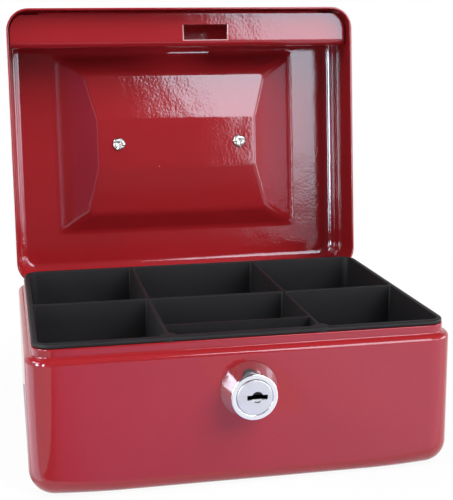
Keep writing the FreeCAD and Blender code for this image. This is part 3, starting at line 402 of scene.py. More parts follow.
strip_low, strip_high = strip_fold(0.0), strip_fold(GAUGE)
row_y = strip_low[:, 0]
round_end = 66.5 + np.sqrt(np.clip(64.0 - np.clip(row_y + 49.5, None, 0) ** 2, 0, None))
row_half = np.where(row_y < flat_y[0] - 0.01, WELD_HALF, np.minimum(round_end, STRIP_HALF))
inner_x = np.unique(np.concatenate([np.linspace(-WELD_HALF, WELD_HALF, 41), SLOT_X]))
ends = np.linspace(0, 1, 7)[1:]


def strip_skin(section):
    """Rows of a fold spread along X; beyond the weld, columns stretch to each row's own end."""
    reach = WELD_HALF + (row_half - WELD_HALF)[:, None] * ends
    inner = np.broadcast_to(inner_x, (len(section), len(inner_x)))
    x = np.concatenate([-reach[:, ::-1], inner, reach], axis=1)
    y, z = [np.broadcast_to(section[:, axis, None], x.shape) for axis in (0, 1)]
    return turn_open(np.stack([x, y, z], axis=-1))


mid_x = strip_skin(strip_low)[len(row_y) // 2, :, 0]
mid_x = (mid_x[1:] + mid_x[:-1]) / 2
mid_y = (row_y[1:] + row_y[:-1]) / 2
slot_rows = (mid_y > SLOT_Y[0]) & (mid_y < SLOT_Y[1])
slot_columns = (mid_x > SLOT_X[0]) & (mid_x < SLOT_X[1])
kept = ~(slot_rows[:, None] & slot_columns[None])
strip_sheet = sheet_faces(strip_skin(strip_low), strip_skin(strip_high), kept, closed=False)
strip_piece = make_piece("lock_strip_fold", [], "lid", "red_paint", ["lock_strip"], [strip_sheet])
edge_break = strip_piece.modifiers.new("edge_break", "BEVEL")
edge_break.width, edge_break.segments, edge_break.limit_method = 0.00034, 3, "ANGLE"
edge_break.angle_limit = math.radians(60)

# %% [markdown]
# ## The coin tray
#
# A moulded tray is made of drafted wells joined by one flat rim. Cutting the wells out of a block would
# leave knife edges, so each well is a swept wall of its own that starts on the rim with a soft edge,
# slopes in by two degrees and rounds into its floor. The flat rim is then filled between all of them.

# %% Wells of the coin tray
RIM_TOP, RIM_LOW, CELL_FLOOR, TRAY_BASE = 54.8, 53.0, 30.2, 29.0
DRAFT = math.tan(math.radians(2))
EDGE_R, FLOOR_R = 0.4, 0.8
CORNER_R, DIVIDER_R = 3.5, 1.0


def well(x_low, x_high, y_low, y_high, radii):
    """A drafted cell: at each height a rounded rectangle whose sides are moved in by that height's offset.

    A corner's radius shrinks by the same offset, but never to nothing.
    """
    depth = np.array([RIM_TOP - EDGE_R - 0.2, 46.0, 38.0, CELL_FLOOR + FLOOR_R + 0.2])
    foot = -(RIM_TOP - CELL_FLOOR) * DRAFT - FLOOR_R
    section = np.concatenate([
        [[EDGE_R + 0.1, RIM_TOP]], bend((EDGE_R, RIM_TOP - EDGE_R), EDGE_R, 90, 180, 5),
        np.stack([(depth - RIM_TOP) * DRAFT, depth], axis=1),
        bend((foot, CELL_FLOOR + FLOOR_R), FLOOR_R, 0, -90, 5), [[foot - 0.1, CELL_FLOOR]]])
    offset, height = section[:, :1], section[:, 1:]
    fans = []
    for x, y, along_x, along_y, start, radius in (
            (x_high, y_low, 1, -1, -90, radii[0]), (x_high, y_high, 1, 1, 0, radii[1]),
            (x_low, y_high, -1, 1, 90, radii[2]), (x_low, y_low, -1, -1, 180, radii[3])):
        radius = np.maximum(radius + offset, 0.2)
        angle = np.radians(start + np.linspace(0, 90, 8))
        fans.append(np.stack([x + along_x * (offset - radius) + radius * np.cos(angle),
                              y + along_y * (offset - radius) + radius * np.sin(angle)], axis=-1))
    share = np.linspace(0, 1, 10)[1:-1, None]
    runs = [fan[:, None, -1] * (1 - share) + following[:, None, 0] * share
            for fan, following in zip(fans, fans[1:] + fans[:1])]
    plan = np.concatenate([part for pair in zip(fans, runs) for part in pair], axis=1)
    return np.concatenate([plan, np.broadcast_to(height[:, None], plan.shape[:2] + (1,))], axis=2)


LEFT, MIDDLE, RIGHT = (-71.2, -27.6), (-26.4, 26.4), (27.6, 71.2)
SHARP = (DIVIDER_R,) * 4
FRONT, REAR = (-54.2, -2.5), (-1.3, 54.2)
BEHIND_BAY = (-40.4, -2.5)
wells = [well(*LEFT, *FRONT, (DIVIDER_R, DIVIDER_R, DIVIDER_R, CORNER_R)),
         well(*MIDDLE, *BEHIND_BAY, SHARP),
         well(*RIGHT, *FRONT, (CORNER_R, DIVIDER_R, DIVIDER_R, DIVIDER_R)),
         well(*LEFT, *REAR, (DIVIDER_R, DIVIDER_R, CORNER_R, DIVIDER_R)),
         well(*MIDDLE, *REAR, SHARP),
         well(*RIGHT, *REAR, (DIVIDER_R, CORNER_R, DIVIDER_R, DIVIDER_R))]
print(len(wells), "wells of", wells[0].shape[0], "by", wells[0].shape[1], "points")

# %% Rim, tub and lock bay
FLANGE_R = 6.9
tray_loop = plan_loop(np.linspace(-CORE_X, CORE_X, 41), np.linspace(-CORE_Y, CORE_Y, 31), 10)
flange = swept_wall(tray_loop, np.concatenate([
    [[FLANGE_R - 1.02, RIM_TOP]], bend((FLANGE_R - 0.9, RIM_TOP - 0.9), 0.9, 90, 0, 8),
    bend((FLANGE_R - 0.7, RIM_LOW + 0.7), 0.7, 0, -90, 6), [[FLANGE_R - 0.82, RIM_LOW]]]))
BAY_X, BAR_BACK, BAY_BACK = 26.4, -53.6, -41.6
TUB_R = 5.9
tub_base, tub_out = plan_loop(np.concatenate([[-CORE_X], np.linspace(-BAY_X, BAY_X, 9), [CORE_X]]),
                              np.linspace(-CORE_Y, CORE_Y, 17), 8)
beside_bay = (np.abs(tub_base[:, 0]) < BAY_X - 0.01) & (tub_base[:, 1] < 0)
first = int(np.nonzero(beside_bay)[0][-1]) + 1
order = np.roll(np.arange(len(tub_base)), -first)
order = order[~beside_bay[order]]
tub_section = np.concatenate([[[TUB_R, RIM_LOW], [TUB_R - 0.7, 33.0]],
                              bend((TUB_R - 3.75, TRAY_BASE + 3), 3.0, -2, -90, 6),
                              [[TUB_R - 3.9, TRAY_BASE]]])
tub = swept_wall((tub_base[order], tub_out[order]), tub_section)


def upright_wall(points, top, bottom):
    """A straight run of plan points dropped from one height to another."""
    points = np.array(points, dtype=float)
    return np.stack([np.column_stack([points, np.full(len(points), height)]) for height in (top, bottom)])


bay_corners = [(BAY_X, BAR_BACK), (BAY_X, BAY_BACK), (-BAY_X, BAY_BACK), (-BAY_X, BAR_BACK)]
bay_sides = []
for column in (0, -1):
    outer_edge = tub[:, column]
    inner_edge = outer_edge * [1, 0, 1] + [0, BAY_BACK, 0]
    between = outer_edge * [1, 0, 1] + [0, 1, 0] * np.maximum(outer_edge[:, 1:2] + 0.3, BAR_BACK)
    bay_sides.append(np.stack([outer_edge, between, inner_edge]))
bay_back = np.stack([bay_sides[0][2], bay_sides[1][2]])
bay_walls = [(upright_wall(bay_corners, RIM_TOP, RIM_LOW), True), (bay_back, False)]
bay_walls += [(side, False) for side in bay_sides]
print("tub of", tub.shape[1], "columns round the lock bay")

# %% Bosses and the whole tray
BOSS_R, BOSS_X = 3.0, 27.0
around = np.linspace(0, 2 * np.pi, 40, endpoint=False)
boss_rows = np.concatenate([[[0.0, RIM_TOP + 0.02], [BOSS_R - 0.5, RIM_TOP + 0.02]],
                            bend((BOSS_R - 0.4, RIM_TOP - 0.38), 0.4, 90, 0, 5),
                            [[BOSS_R, RIM_LOW + 0.1], [BOSS_R - 0.1, RIM_LOW + 0.02],
                             [0.0, RIM_LOW + 0.02]]])
boss_x, boss_y = boss_rows[:, :1] * np.cos(around), BAR_BACK + boss_rows[:, :1] * np.sin(around)
boss_z = np.broadcast_to(boss_rows[:, 1:], boss_x.shape)
bosses = [(np.stack([middle + boss_x, boss_y, boss_z], axis=-1), True) for middle in (-BOSS_X, BOSS_X)]
tray_grids = [(grid, True) for grid in wells] + [(flange, True), (tub, False)] + bay_walls + bosses
make_piece("coin_tray_moulding", tray_grids, "tray", "black_plastic", ["coin_tray"],
           flat_levels=[RIM_TOP, CELL_FLOOR, RIM_LOW, TRAY_BASE])

# %% [markdown]
# ## The lock
#
# Lock parts are turned on a lathe or die-cast round, so each is a profile spun about the lock's axis.
# The core is spun too, but its profile starts at the keyhole: the outline of a round eye with a flat slot
# through it, found along each ray from the centre.

# %% Spinning a profile
LOCK_Z, WALL_Y, FACE_Y = 35.2, -59.0, -68.2
BORE_R, SHANK_R, SHANK_FLAT, SHANK_END = 6.35, 7.5, 6.7, -51.0


def spun(radius, along, angle, shift=0.0):
    """Points at a radius round the lock's axis, each row at its own place along Y.

    The radius may vary with the angle, and a row's shift moves its middle along X.
    """
    radius = np.broadcast_to(radius, (len(along), len(angle)))
    shift = np.broadcast_to(shift, len(along))[:, None]
    depth = np.broadcast_to(np.asarray(along)[:, None], radius.shape)
    return np.stack([shift + radius * np.cos(angle), depth, LOCK_Z + radius * np.sin(angle)], axis=-1)


turn = np.linspace(0, 2 * np.pi, 128, endpoint=False)
bezel = np.concatenate([
    [[BORE_R, SHANK_END - 0.2], [BORE_R, FACE_Y + 0.4]],
    bend((BORE_R + 0.25, FACE_Y + 0.25), 0.25, 180, 270, 4),
    [[6.9, FACE_Y], [7.6, FACE_Y]], bend((7.75, FACE_Y + 0.4), 0.4, -90, -8, 6),
    [[8.35, -67.0], [10.02, -59.6], [10.1, -59.4], [10.0, -59.28], [9.75, -59.2], [9.75, WALL_Y],
     [SHANK_R, WALL_Y]]])
bezel_grid = spun(bezel[:, :1], bezel[:, 1], turn)
shank = np.array([[SHANK_R, WALL_Y], [SHANK_R, WALL_Y], [SHANK_R, SHANK_END - 0.4],
                  [SHANK_R - 0.2, SHANK_END], [BORE_R, SHANK_END], [BORE_R, SHANK_END - 0.2]])
shank_grid = spun(shank[:, :1], shank[:, 1], turn)
shank_grid[1:, :, 0] = np.clip(shank_grid[1:, :, 0], -SHANK_FLAT, SHANK_FLAT)
make_piece("lock_housing", [(bezel_grid, True), (shank_grid, True)], "box", "chrome", ["lock_barrel"],
           crease=30)

# %% Keyhole along each ray
PLUG_Y, EYE_R, EYE_X = -68.45, 1.95, 0.9
SLOT_REACH, SLOT_HALF = 3.5, 0.8
fine = np.linspace(0, 2 * np.pi, 240, endpoint=False)
slot_ray = np.minimum(SLOT_REACH / np.maximum(np.abs(np.cos(fine)), 1e-6),
                      SLOT_HALF / np.maximum(np.abs(np.sin(fine)), 1e-6))
keyhole = np.maximum(slot_ray, EYE_R)
ray_rows = [(0 * fine, -60.0), (slot_ray, -60.0), (slot_ray, PLUG_Y + 0.8), (slot_ray + 0.02, PLUG_Y + 0.7),
            (np.maximum(keyhole - 0.25, slot_ray + 0.03), PLUG_Y + 0.7),
            (np.maximum(keyhole - 0.08, slot_ray + 0.04), PLUG_Y + 0.4),
            (keyhole + 0.04, PLUG_Y + 0.1), (keyhole + 0.1, PLUG_Y), (keyhole + 0.3, PLUG_Y)]
shifts = [EYE_X] * len(ray_rows)
print("keyhole", round(2 * SLOT_REACH, 1), "mm wide")

# %% Lock core
HEAD_R, HEAD_END, CORE_R, CORE_END, TAIL_HALF, TAIL_END = 6.2, -65.7, 5.5, -50.6, 3.0, -48.6
square = TAIL_HALF / np.maximum(np.abs(np.cos(fine)), np.abs(np.sin(fine)))
round_rows = np.concatenate([
    [[CORE_R, PLUG_Y], [HEAD_R - 0.35, PLUG_Y]], bend((HEAD_R - 0.25, PLUG_Y + 0.25), 0.25, -90, 0, 4),
    [[HEAD_R, HEAD_END - 0.1], [HEAD_R - 0.05, HEAD_END], [CORE_R, HEAD_END], [CORE_R, CORE_END - 0.1],
     [CORE_R - 0.1, CORE_END]]])
ray_rows += [(np.full_like(fine, radius), y) for radius, y in round_rows]
ray_rows += [(square, CORE_END), (square, TAIL_END - 0.1), (square * 0.97, TAIL_END), (0 * fine, TAIL_END)]
shifts += [0.0] * (len(ray_rows) - len(shifts))
core_grid = spun(np.stack([row[0] for row in ray_rows]), [row[1] for row in ray_rows], fine, shifts)
make_piece("lock_core_turned", [(core_grid, True)], "lock_core", "satin_steel", ["lock_plug"], crease=30)

# %% [markdown]
# ## The handle
#
# The handle is one bent wire, a circle carried along a path of straight runs and bends. It hangs plumb
# behind the open lid from two posts. Each post is a turned pin whose tail was hammered over inside the
# lid; the tails are uneven and split, which is what catches the light in the picture.

# %% Wire handle
POST_X, POST_Y, RECESS_Z, PIVOT_RISE = 27.9, -0.4, 72.0, 4.8
pivot = turn_open(np.array([0.0, POST_Y, RECESS_Z + PIVOT_RISE]))
WIRE, LEG_X, WIRE_END, REACH = 1.9, 34.5, 24.3, 21.5
POST_BEND, GRIP_BEND = 3.0, 7.0


def handle_path(steps=12):
    """Half of the middle line, from a post's inner side round two bends to the middle of the grip."""
    small = bend((LEG_X - POST_BEND, -POST_BEND), POST_BEND, 90, 0, steps)
    large = bend((LEG_X - GRIP_BEND, GRIP_BEND - REACH), GRIP_BEND, 0, -90, steps)
    stub = np.column_stack([np.linspace(WIRE_END, LEG_X - POST_BEND, 6)[:-1], np.zeros(5)])
    leg = np.column_stack([np.full(4, LEG_X), np.linspace(-POST_BEND, GRIP_BEND - REACH, 6)[1:-1]])
    grip = np.column_stack([np.linspace(LEG_X - GRIP_BEND, 0, 8)[1:], np.full(7, -REACH)])
    half = np.concatenate([stub, small, leg, large, grip])
    return np.concatenate([half, half[-2::-1] * [-1, 1]])


path = handle_path()
along = np.gradient(path, axis=0)
along /= np.linalg.norm(along, axis=1, keepdims=True)
sideways = np.column_stack([-along[:, 1], along[:, 0]])
cap_size, cap_shift = np.array([0.0, 0.5, 0.8, 0.95]), np.array([-0.01, 0.0, 0.15, 0.4])
swell = np.concatenate([cap_size, np.ones(len(path)), cap_size[::-1]])
shift = np.concatenate([cap_shift, np.zeros(len(path)), -cap_shift[::-1]])
rows = np.concatenate([np.zeros(4, int), np.arange(len(path)), np.full(4, len(path) - 1)])
centre = path[rows] + along[rows] * shift[:, None]
around = np.linspace(0, 2 * np.pi, 28, endpoint=False)
ring_x = centre[:, None, 0] + WIRE * swell[:, None] * sideways[rows][:, None, 0] * np.cos(around)
ring_z = centre[:, None, 1] + WIRE * swell[:, None] * sideways[rows][:, None, 1] * np.cos(around)
ring_y = WIRE * swell[:, None] * np.sin(around)[None]
wire_grid = np.stack([ring_x, ring_y, ring_z], axis=-1) + pivot
make_piece("handle_wire", [(wire_grid, True)], "handle", "chrome", ["handle_bail"])

# %% Posts with hammered tails
turned = np.concatenate([[[0.0, 7.7], [2.0, 7.7]], bend((2.5, 7.0), 0.7, 90, 0, 5), [[3.2, 1.2]],
                         bend((3.4, 1.2), 0.2, 180, 270, 3), [[3.6, 1.0]], bend((3.6, 0.8), 0.2, 90, 0, 3),
                         [[3.8, 0.1], [3.7, 0.0], [2.0, 0.0], [2.0, -0.8]]])
spin = np.linspace(0, 2 * np.pi, 72, endpoint=False)


def post(side, phase):
    """A turned post: a profile spun about its axis, then a tail that wanders with the angle.

    The tail's edge swings in and out by two cosines, and its face dips at four splits.
    """
    top = turned[:, :1] * np.ones_like(spin)
    ragged = 1 + 0.05 * np.cos(3 * spin + phase) + 0.04 * np.cos(5 * spin - 2 * phase)
    split = np.exp(-(np.sin(2 * (spin - phase)) / 0.28) ** 2)
    tail_radius = np.array([2.55, 2.8, 2.72, 2.3, 1.5, 0.8, 0.35, 0.0])[:, None] * ragged
    tail_height = np.array([-0.8, -1.05, -1.5, -1.82, -1.88, -1.72, -1.55, -1.5])[:, None]
    tail_height = tail_height + np.array([0, 0, 0.12, 0.3, 0.42, 0.25, 0.05, 0])[:, None] * split
    radius = np.concatenate([top, tail_radius])
    height = np.concatenate([np.broadcast_to(turned[:, 1:], top.shape), tail_height])
    x, y = side * POST_X + radius * np.cos(spin), POST_Y + radius * np.sin(spin)
    return turn_open(np.stack([x, y, RECESS_Z + height], axis=-1))


for side, label, phase in ((-1, "left", 0.5), (1, "right", 1.3)):
    make_piece(f"post_{label}", [(post(side, phase), True)], "lid", "zinc_steel", [f"handle_post_{label}"],
               crease=50)

# %% [markdown]
# ## Finishes
#
# Each finish is a small graph of shader nodes. Wiring nodes one by one hides the idea, so a socket is
# wrapped in a class whose arithmetic adds the nodes: `0.1 + 0.05 * grain` reads like the formula it is.
# All patterns read Object coordinates, which are the box's own metres, so they never slide.

# %% Shader arithmetic
class Flow:
    """One socket of a finish. Arithmetic on it adds Math nodes, and node() adds any other node."""

    def __init__(self, tree, socket):
        self.tree, self.socket = tree, socket

    def node(self, kind, settings, sockets, output=0):
        """Adds a node, its settings first and then its sockets' values or links; returns one output."""
        made = self.tree.nodes.new(kind)
        for key, value in settings.items():
            setattr(made, key, value)
        for key, value in sockets.items():
            if isinstance(value, Flow):
                self.tree.links.new(value.socket, made.inputs[key])
            else:
                made.inputs[key].default_value = value
        return Flow(self.tree, made.outputs[output])

    def math(self, operation, first, second=0.0):
        return self.node("ShaderNodeMath", {"operation": operation}, {0: first, 1: second})

    def __add__(self, other):
        return self.math("ADD", self, other)

    def __sub__(self, other):
        return self.math("SUBTRACT", self, other)

    def __rsub__(self, other):
        return self.math("SUBTRACT", other, self)

    def __mul__(self, other):
        return self.math("MULTIPLY", self, other)

    def __gt__(self, other):
        return self.math("GREATER_THAN", self, other)

    def __lt__(self, other):
        return self.math("LESS_THAN", self, other)

    __radd__, __rmul__ = __add__, __mul__

    def within(self, low, high):
        """One where this value lies between two limits, else nought."""
        return (self > low) * (self < high)

    def axes(self):
        """The X, Y and Z of a place."""
        return [self.node("ShaderNodeSeparateXYZ", {}, {0: self}, axis) for axis in "XYZ"]

    def ramp(self, start, end, low, high):
        """A straight ramp from low to high while this value runs from start to end."""
        return self.node("ShaderNodeMapRange", {}, {0: self, 1: start, 2: end, 3: low, 4: high})

    def noise(self, scale, detail=2.0):
        return self.node("ShaderNodeTexNoise", {}, {"Vector": self, "Scale": scale, "Detail": detail})

    def shade(self, low, high):
        """A colour between two colours, by this value; either may itself vary."""
        low, high = [shade if isinstance(shade, Flow) else (*shade, 1) for shade in (low, high)]
        return self.node("ShaderNodeMix", {"data_type": "RGBA"}, {0: self, 6: low, 7: high}, 2)

    def bump(self, distance):
        heights = {"Height": self, "Distance": distance, "Strength": 1.0}
        return self.node("ShaderNodeBump", {}, heights, "Normal")


def new_finish(name, **constants):
    """A material with one Principled shader, on whose sockets the constants are set.

    Returns the material, its shader and its Object coordinates.
    """
    finish = bpy.data.materials.new(name)
    finish.use_nodes = True
    tree = finish.node_tree
    shader = tree.nodes["Principled BSDF"]
    for socket, value in constants.items():
        shader.inputs[socket.replace("_", " ")].default_value = value
    place = Flow(tree, tree.nodes.new("ShaderNodeTexCoord").outputs["Object"])
    print("finish", name)
    return finish, shader, place


def drive(shader, **flows):
    """Links values that vary over the surface to a shader's sockets."""
    for socket, flow in flows.items():
        flow.tree.links.new(flow.socket, shader.inputs[socket.replace("_", " ")])


# %% [markdown]
# ### Red stove enamel
#
# Sprayed enamel dries with a faint orange peel: shallow dimples about a millimetre across. They hardly show
# in plain red, but they break up the edge of every reflection. A picture of peel could be wrapped on, but
# a noise has no seams: a fine one used as height is the peel, a slower one the sheet's own waviness. A few
# dust specks are caught in the paint, and a painted highlight lightens a thin band along the edges of the
# strip's punched slot.

# %% Red enamel
SLOT_EDGE_X = ((SLOT_X[0] - 0.4) * MM, (SLOT_X[1] + 0.4) * MM)
SLOT_EDGE_Y, SLOT_EDGE_Z = (72.5 * MM, 75.2 * MM), (151.45 * MM, 158.3 * MM)
red_enamel, shader, place = new_finish("red_enamel", IOR=1.56, Specular_Tint=(0.70, 0.86, 1.0, 1))
peel = place.noise(820, 2.0)
waviness = place.noise(90, 1.0)
tone = place.noise(22, 3.0)
speck = place.node("ShaderNodeTexVoronoi", {}, {"Vector": place, "Scale": 75.0}, "Distance") < 0.016
red = tone.shade((0.292, 0.0138, 0.018), (0.337, 0.0158, 0.0215))
x, y, z = place.axes()
# Painted highlight: a thin band along the punched slot's edges is made lighter, as if the edges caught the
# light; it shares one mask with the dust specks.
slot_edge_highlight = x.within(*SLOT_EDGE_X) * y.within(*SLOT_EDGE_Y) * z.within(*SLOT_EDGE_Z)
specks_and_slot_highlight = place.math("MAXIMUM", speck * 0.8, slot_edge_highlight * 0.75)
drive(shader, Base_Color=specks_and_slot_highlight.shade(red, (0.75, 0.48, 0.51)), Roughness=0.06 + 0.04 * tone,
      Normal=(peel + waviness * 3.0).bump(3.2e-5))

# %% [markdown]
# ### Black moulded plastic
#
# The tray left its mould with a fine matt grain. A plain black would look like a hole, so the grain is a
# bump, and the roughness drifts a little where hands and coins have polished the rims.

# %% Black plastic
black_moulding, shader, place = new_finish("black_moulding", IOR=1.5, Specular_IOR_Level=0.2)
grain = place.noise(2600, 2.0)
handling = place.noise(60, 3.0)
drive(shader, Base_Color=handling.shade((0.008, 0.008, 0.0095), (0.014, 0.0138, 0.016)),
      Roughness=0.5 + 0.16 * handling, Normal=(grain + handling * 0.6).bump(1.6e-5))

# %% [markdown]
# ### Plated and turned metals
#
# The lock's housing and the handle are bright plated, the core's face is satin with fine turned rays, and
# posts, hinges and the lock's hidden parts are zinc plated. All are metals, so their colour is in the
# reflection, and what tells them apart is how rough they are and which way their scratches run. The
# housing's plating is a little hazy low down and clearer towards the top, a painted shade that darkens the
# top; haze is what a slightly lower Metallic gives. Inside the keyhole the core is darkened with painted
# shade, but the lower ledge is left out of it and keeps its bright satin.

# %% Bright plate
bright_plate, shader, place = new_finish("bright_plate")
film = place.noise(140, 3.0)
x, y, z = place.axes()
# Painted shade: Metallic rises towards the top of the housing, so the hazy share fades there and the top
# reads darker.
painted_top_shade = (z - LOCK_Z * MM - 0.4 * x).ramp(0.003, 0.009, 0.86, 0.965)
drive(shader, Base_Color=film.shade((0.74, 0.75, 0.80), (0.84, 0.84, 0.88)), Roughness=0.05 + 0.08 * film,
      Metallic=painted_top_shade, Normal=place.noise(500, 1.0).bump(4e-6))

# %% Satin turned face
LEDGE_START, LEDGE_END, KEYWAY_END = (PLUG_Y + 0.55) * MM, (PLUG_Y + 0.75) * MM, -59.5 * MM
KEY_REACH_SQUARED = 2.4e-5
satin_face, shader, place = new_finish("satin_face", Metallic=1.0)
x, y, z = place.axes()
z = z - LOCK_Z * MM
from_axis = x * x + z * z
turned_place = {0: place.math("ARCTAN2", z, x) * 22.0, 1: from_axis * 4000.0, 2: y * 900.0}
rays = place.node("ShaderNodeCombineXYZ", {}, turned_place).noise(1.0, 4.0)
blotch = place.noise(420, 3.0)
# Painted shade: inside the keyhole the core's colour is made nearly black, except on the lower ledge, which
# keeps the bright satin.
lower_ledge = (y < LEDGE_END) * (z < -0.0006)
keyway_painted_shade = y.within(LEDGE_START, KEYWAY_END) * (from_axis < KEY_REACH_SQUARED) * (1 - lower_ledge)
bright = (rays * 0.6 + blotch * 0.4).shade((0.55, 0.55, 0.565), (0.78, 0.78, 0.80))
drive(shader, Base_Color=keyway_painted_shade.shade(bright, (0.03, 0.03, 0.03)), Roughness=0.26 + 0.16 * rays,
      Normal=(rays + blotch * 0.5).bump(1.2e-5))

# %% Zinc plate
zinc_plate, shader, place = new_finish("zinc_plate", Metallic=1.0)
crystal = place.node("ShaderNodeTexVoronoi", {}, {"Vector": place, "Scale": 900.0}, "Distance")
dulling = place.noise(260, 4.0)
drive(shader, Base_Color=dulling.shade((0.40, 0.41, 0.42), (0.62, 0.62, 0.61)),
      Roughness=0.26 + 0.2 * dulling, Normal=(crystal * 0.4 + dulling).bump(2e-5))

# %% [markdown]
# ### Finishes on their pieces
#
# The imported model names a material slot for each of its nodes, and each new piece was given one too, so a
# finish is looked up by slot instead of being dragged onto objects one by one.

# %% Put the finishes on
finish_of_slot = {"red_paint": red_enamel, "black_plastic": black_moulding, "chrome": bright_plate,
                  "satin_steel": satin_face, "zinc_steel": zinc_plate}
slot_of_node = {part["node"]: part["material_slot"] for part in frame["record"]["subparts"]}
for name, node in frame["nodes"].items():
    node.data.materials.clear()
    node.data.materials.append(finish_of_slot[slot_of_node[name]])
for name, slot in slot_of_piece.items():
    bpy.data.objects[name].data.materials.append(finish_of_slot[slot])
print("finishes on", len(frame["nodes"]), "nodes and", len(slot_of_piece), "new pieces")

# %% [markdown]
# ## Floor and studio
#
# The box stands on a white table in a light tent. The floor is white to the camera and to mirrors, but a
# share of it stays an ordinary matt surface, so that the box's soft shadow still falls on it.

# %% Floor
def is_seen(tree):
    """One for rays from the camera, from glossy surfaces and through clear ones, else nought."""
    path = tree.nodes.new("ShaderNodeLightPath")
    kinds = ("Is Camera Ray", "Is Glossy Ray", "Is Transmission Ray")
    camera_ray, glossy_ray, clear_ray = [Flow(tree, path.outputs[kind]) for kind in kinds]
    return camera_ray.math("MINIMUM", camera_ray + glossy_ray + clear_ray, 1.0)


def stage_mesh(name, points, faces, material):
    """A piece of the studio, not of the box."""
    mesh = bpy.data.meshes.new(name)
    mesh.from_pydata(points.tolist(), [], faces.tolist())
    mesh.materials.append(material)
    thing = bpy.data.objects.new(name, mesh)
    bpy.context.collection.objects.link(thing)
    print("stage", name)
    return thing


white_table, shader, place = new_finish("white_table")
tree = white_table.node_tree
glow = place.node("ShaderNodeEmission", {}, {"Color": (1, 1, 1, 1), "Strength": 1.0})
matt = place.node("ShaderNodeBsdfDiffuse", {}, {"Color": (0.8, 0.8, 0.8, 1)})
away = place.node("ShaderNodeVectorMath", {"operation": "LENGTH"}, {0: place}, "Value")
fade = place.node("ShaderNodeMapRange", {"interpolation_type": "SMOOTHSTEP"},
                  {"Value": away, "From Min": 0.09, "From Max": 0.22, "To Min": 0.92, "To Max": 1.0})
mixed = place.node("ShaderNodeMixShader", {}, {0: is_seen(tree) * fade, 1: matt, 2: glow})
tree.links.new(mixed.socket, tree.nodes["Material Output"].inputs["Surface"])
tree.nodes.remove(shader)
far = np.array([[-1, -1], [1, -1], [1, 1], [-1, 1]]) * 8.0
stage_mesh("table_top", np.column_stack([far, np.zeros(4)]), np.array([[0, 1, 2, 3]]), white_table)

# %% [markdown]
# ### Light panels
#
# Glossy paint is a mirror with a red tint, so the lights are placed by what the paint shows. They could be
# lamps, but a mirror shows a lamp's outline, so each is a glowing patch of a sphere around the lid, whose
# edges can lean. Seen from the lid, a tall leaning panel at the right fades towards its foot, and low
# panels stand beyond it in three pieces. Far to the left is a hot narrow strip, nearer a second one that
# the lock's cone shows by way of the box's front, and above them a soft bank. Between are two dim violet
# glows. Ahead, overhead and on the table in front it is dark, where the photographer stood. A small dim
# flag stands at the left of the lid, and a small white card just above it.

# %% Patches that glow
PATCH_COLUMNS, ABOVE_TABLE = 25, -4.2
VIOLET, DIM, DARK = (0.55, 0.4, 1.0), 0.4, 0.12
LID_CENTRE = np.array([0.0, 0.065, 0.11])
FOOT_TO_KNEE, KNEE_TO_TOP = (0.06, 0.16), (0.16, 0.62)


def sky_patch(azimuth_low, azimuth_high, elevation, distance):
    """A patch of sphere: rows at given elevations, each running between its own two azimuths.

    Azimuth 0 is -Y and 90 is +X; a point is the middle plus the distance times its direction.
    """
    share = np.linspace(0, 1, PATCH_COLUMNS)[None]
    azimuth = np.radians(azimuth_low[:, None] + (azimuth_high - azimuth_low)[:, None] * share)
    height = np.radians(np.broadcast_to(elevation[:, None], azimuth.shape))
    level = np.cos(height)
    direction = np.stack([np.sin(azimuth) * level, -np.cos(azimuth) * level, np.sin(height)], axis=-1)
    points = (LID_CENTRE + distance * direction).reshape(-1, 3)
    return points, quads(len(elevation), PATCH_COLUMNS, 0, False)


def glow_only(finish, shader, place, colour, strength=1.0):
    """Lets a finish only glow: an Emission shader takes the place of its Principled one."""
    colour = colour if isinstance(colour, Flow) else (*colour, 1)
    glow = place.node("ShaderNodeEmission", {}, {"Color": colour, "Strength": strength})
    tree = finish.node_tree
    tree.links.new(glow.socket, tree.nodes["Material Output"].inputs["Surface"])
    tree.nodes.remove(shader)


def for_mirrors_only(thing):
    """Hides a piece of the studio from the camera and from diffuse light."""
    thing.visible_camera = thing.visible_diffuse = thing.visible_shadow = False


def panel_light(name, azimuth_low, azimuth_high, elevation, strength, distance=1.4, colour=(1, 1, 1)):
    """A glowing patch that only mirrors show; three strengths make it fade from its foot to its top."""
    elevation = np.asarray(elevation, dtype=float)
    low, high = [np.broadcast_to(azimuth, elevation.shape) for azimuth in (azimuth_low, azimuth_high)]
    lamp, shader, place = new_finish(name)
    if np.ndim(strength):
        foot, knee, top = strength
        height = place.axes()[2]
        to_knee = height.ramp(*FOOT_TO_KNEE, 0.0, knee - foot)
        rise = foot + to_knee + height.ramp(*KNEE_TO_TOP, 0.0, top - knee)
        colour = place.node("ShaderNodeVectorMath", {"operation": "SCALE"}, {0: colour, "Scale": rise})
        strength = 1.0
    glow_only(lamp, shader, place, colour, strength)
    thing = stage_mesh(name, *sky_patch(low, high, elevation, distance), lamp)
    for_mirrors_only(thing)
    return thing


# %% Panels and dark cards
heights = np.linspace(ABOVE_TABLE, 32, 13)
low_heights, glow_heights = np.linspace(ABOVE_TABLE, 11, 5), np.linspace(ABOVE_TABLE, 14, 5)
leaning = np.interp(heights, [ABOVE_TABLE, 5.0, 9.5, 11.4, 20, 22, 32],
                    [14.4, 14.2, 13.5, 13.0, 9.4, 8.6, 8.6])
panel_light("right_panel", leaning, 30.0, heights, (1.2, 6.8, 10.2))
for number, (start, end) in enumerate(((34.5, 40.5), (45.5, 54.0), (64.0, 95.0))):
    panel_light(f"low_right_panel_{number}", start, end, low_heights, 8.0)
panel_light("left_strip", -70.0, -54.0, np.linspace(ABOVE_TABLE, 12, 5), 31.0)
panel_light("near_strip", -40.0, -32.8, np.linspace(-12, 16, 9), 20.0, distance=0.5)
left_bank = panel_light("left_bank", -100.0, -60.0, np.linspace(24, 40, 5), 11.0)
left_bank.visible_diffuse = True
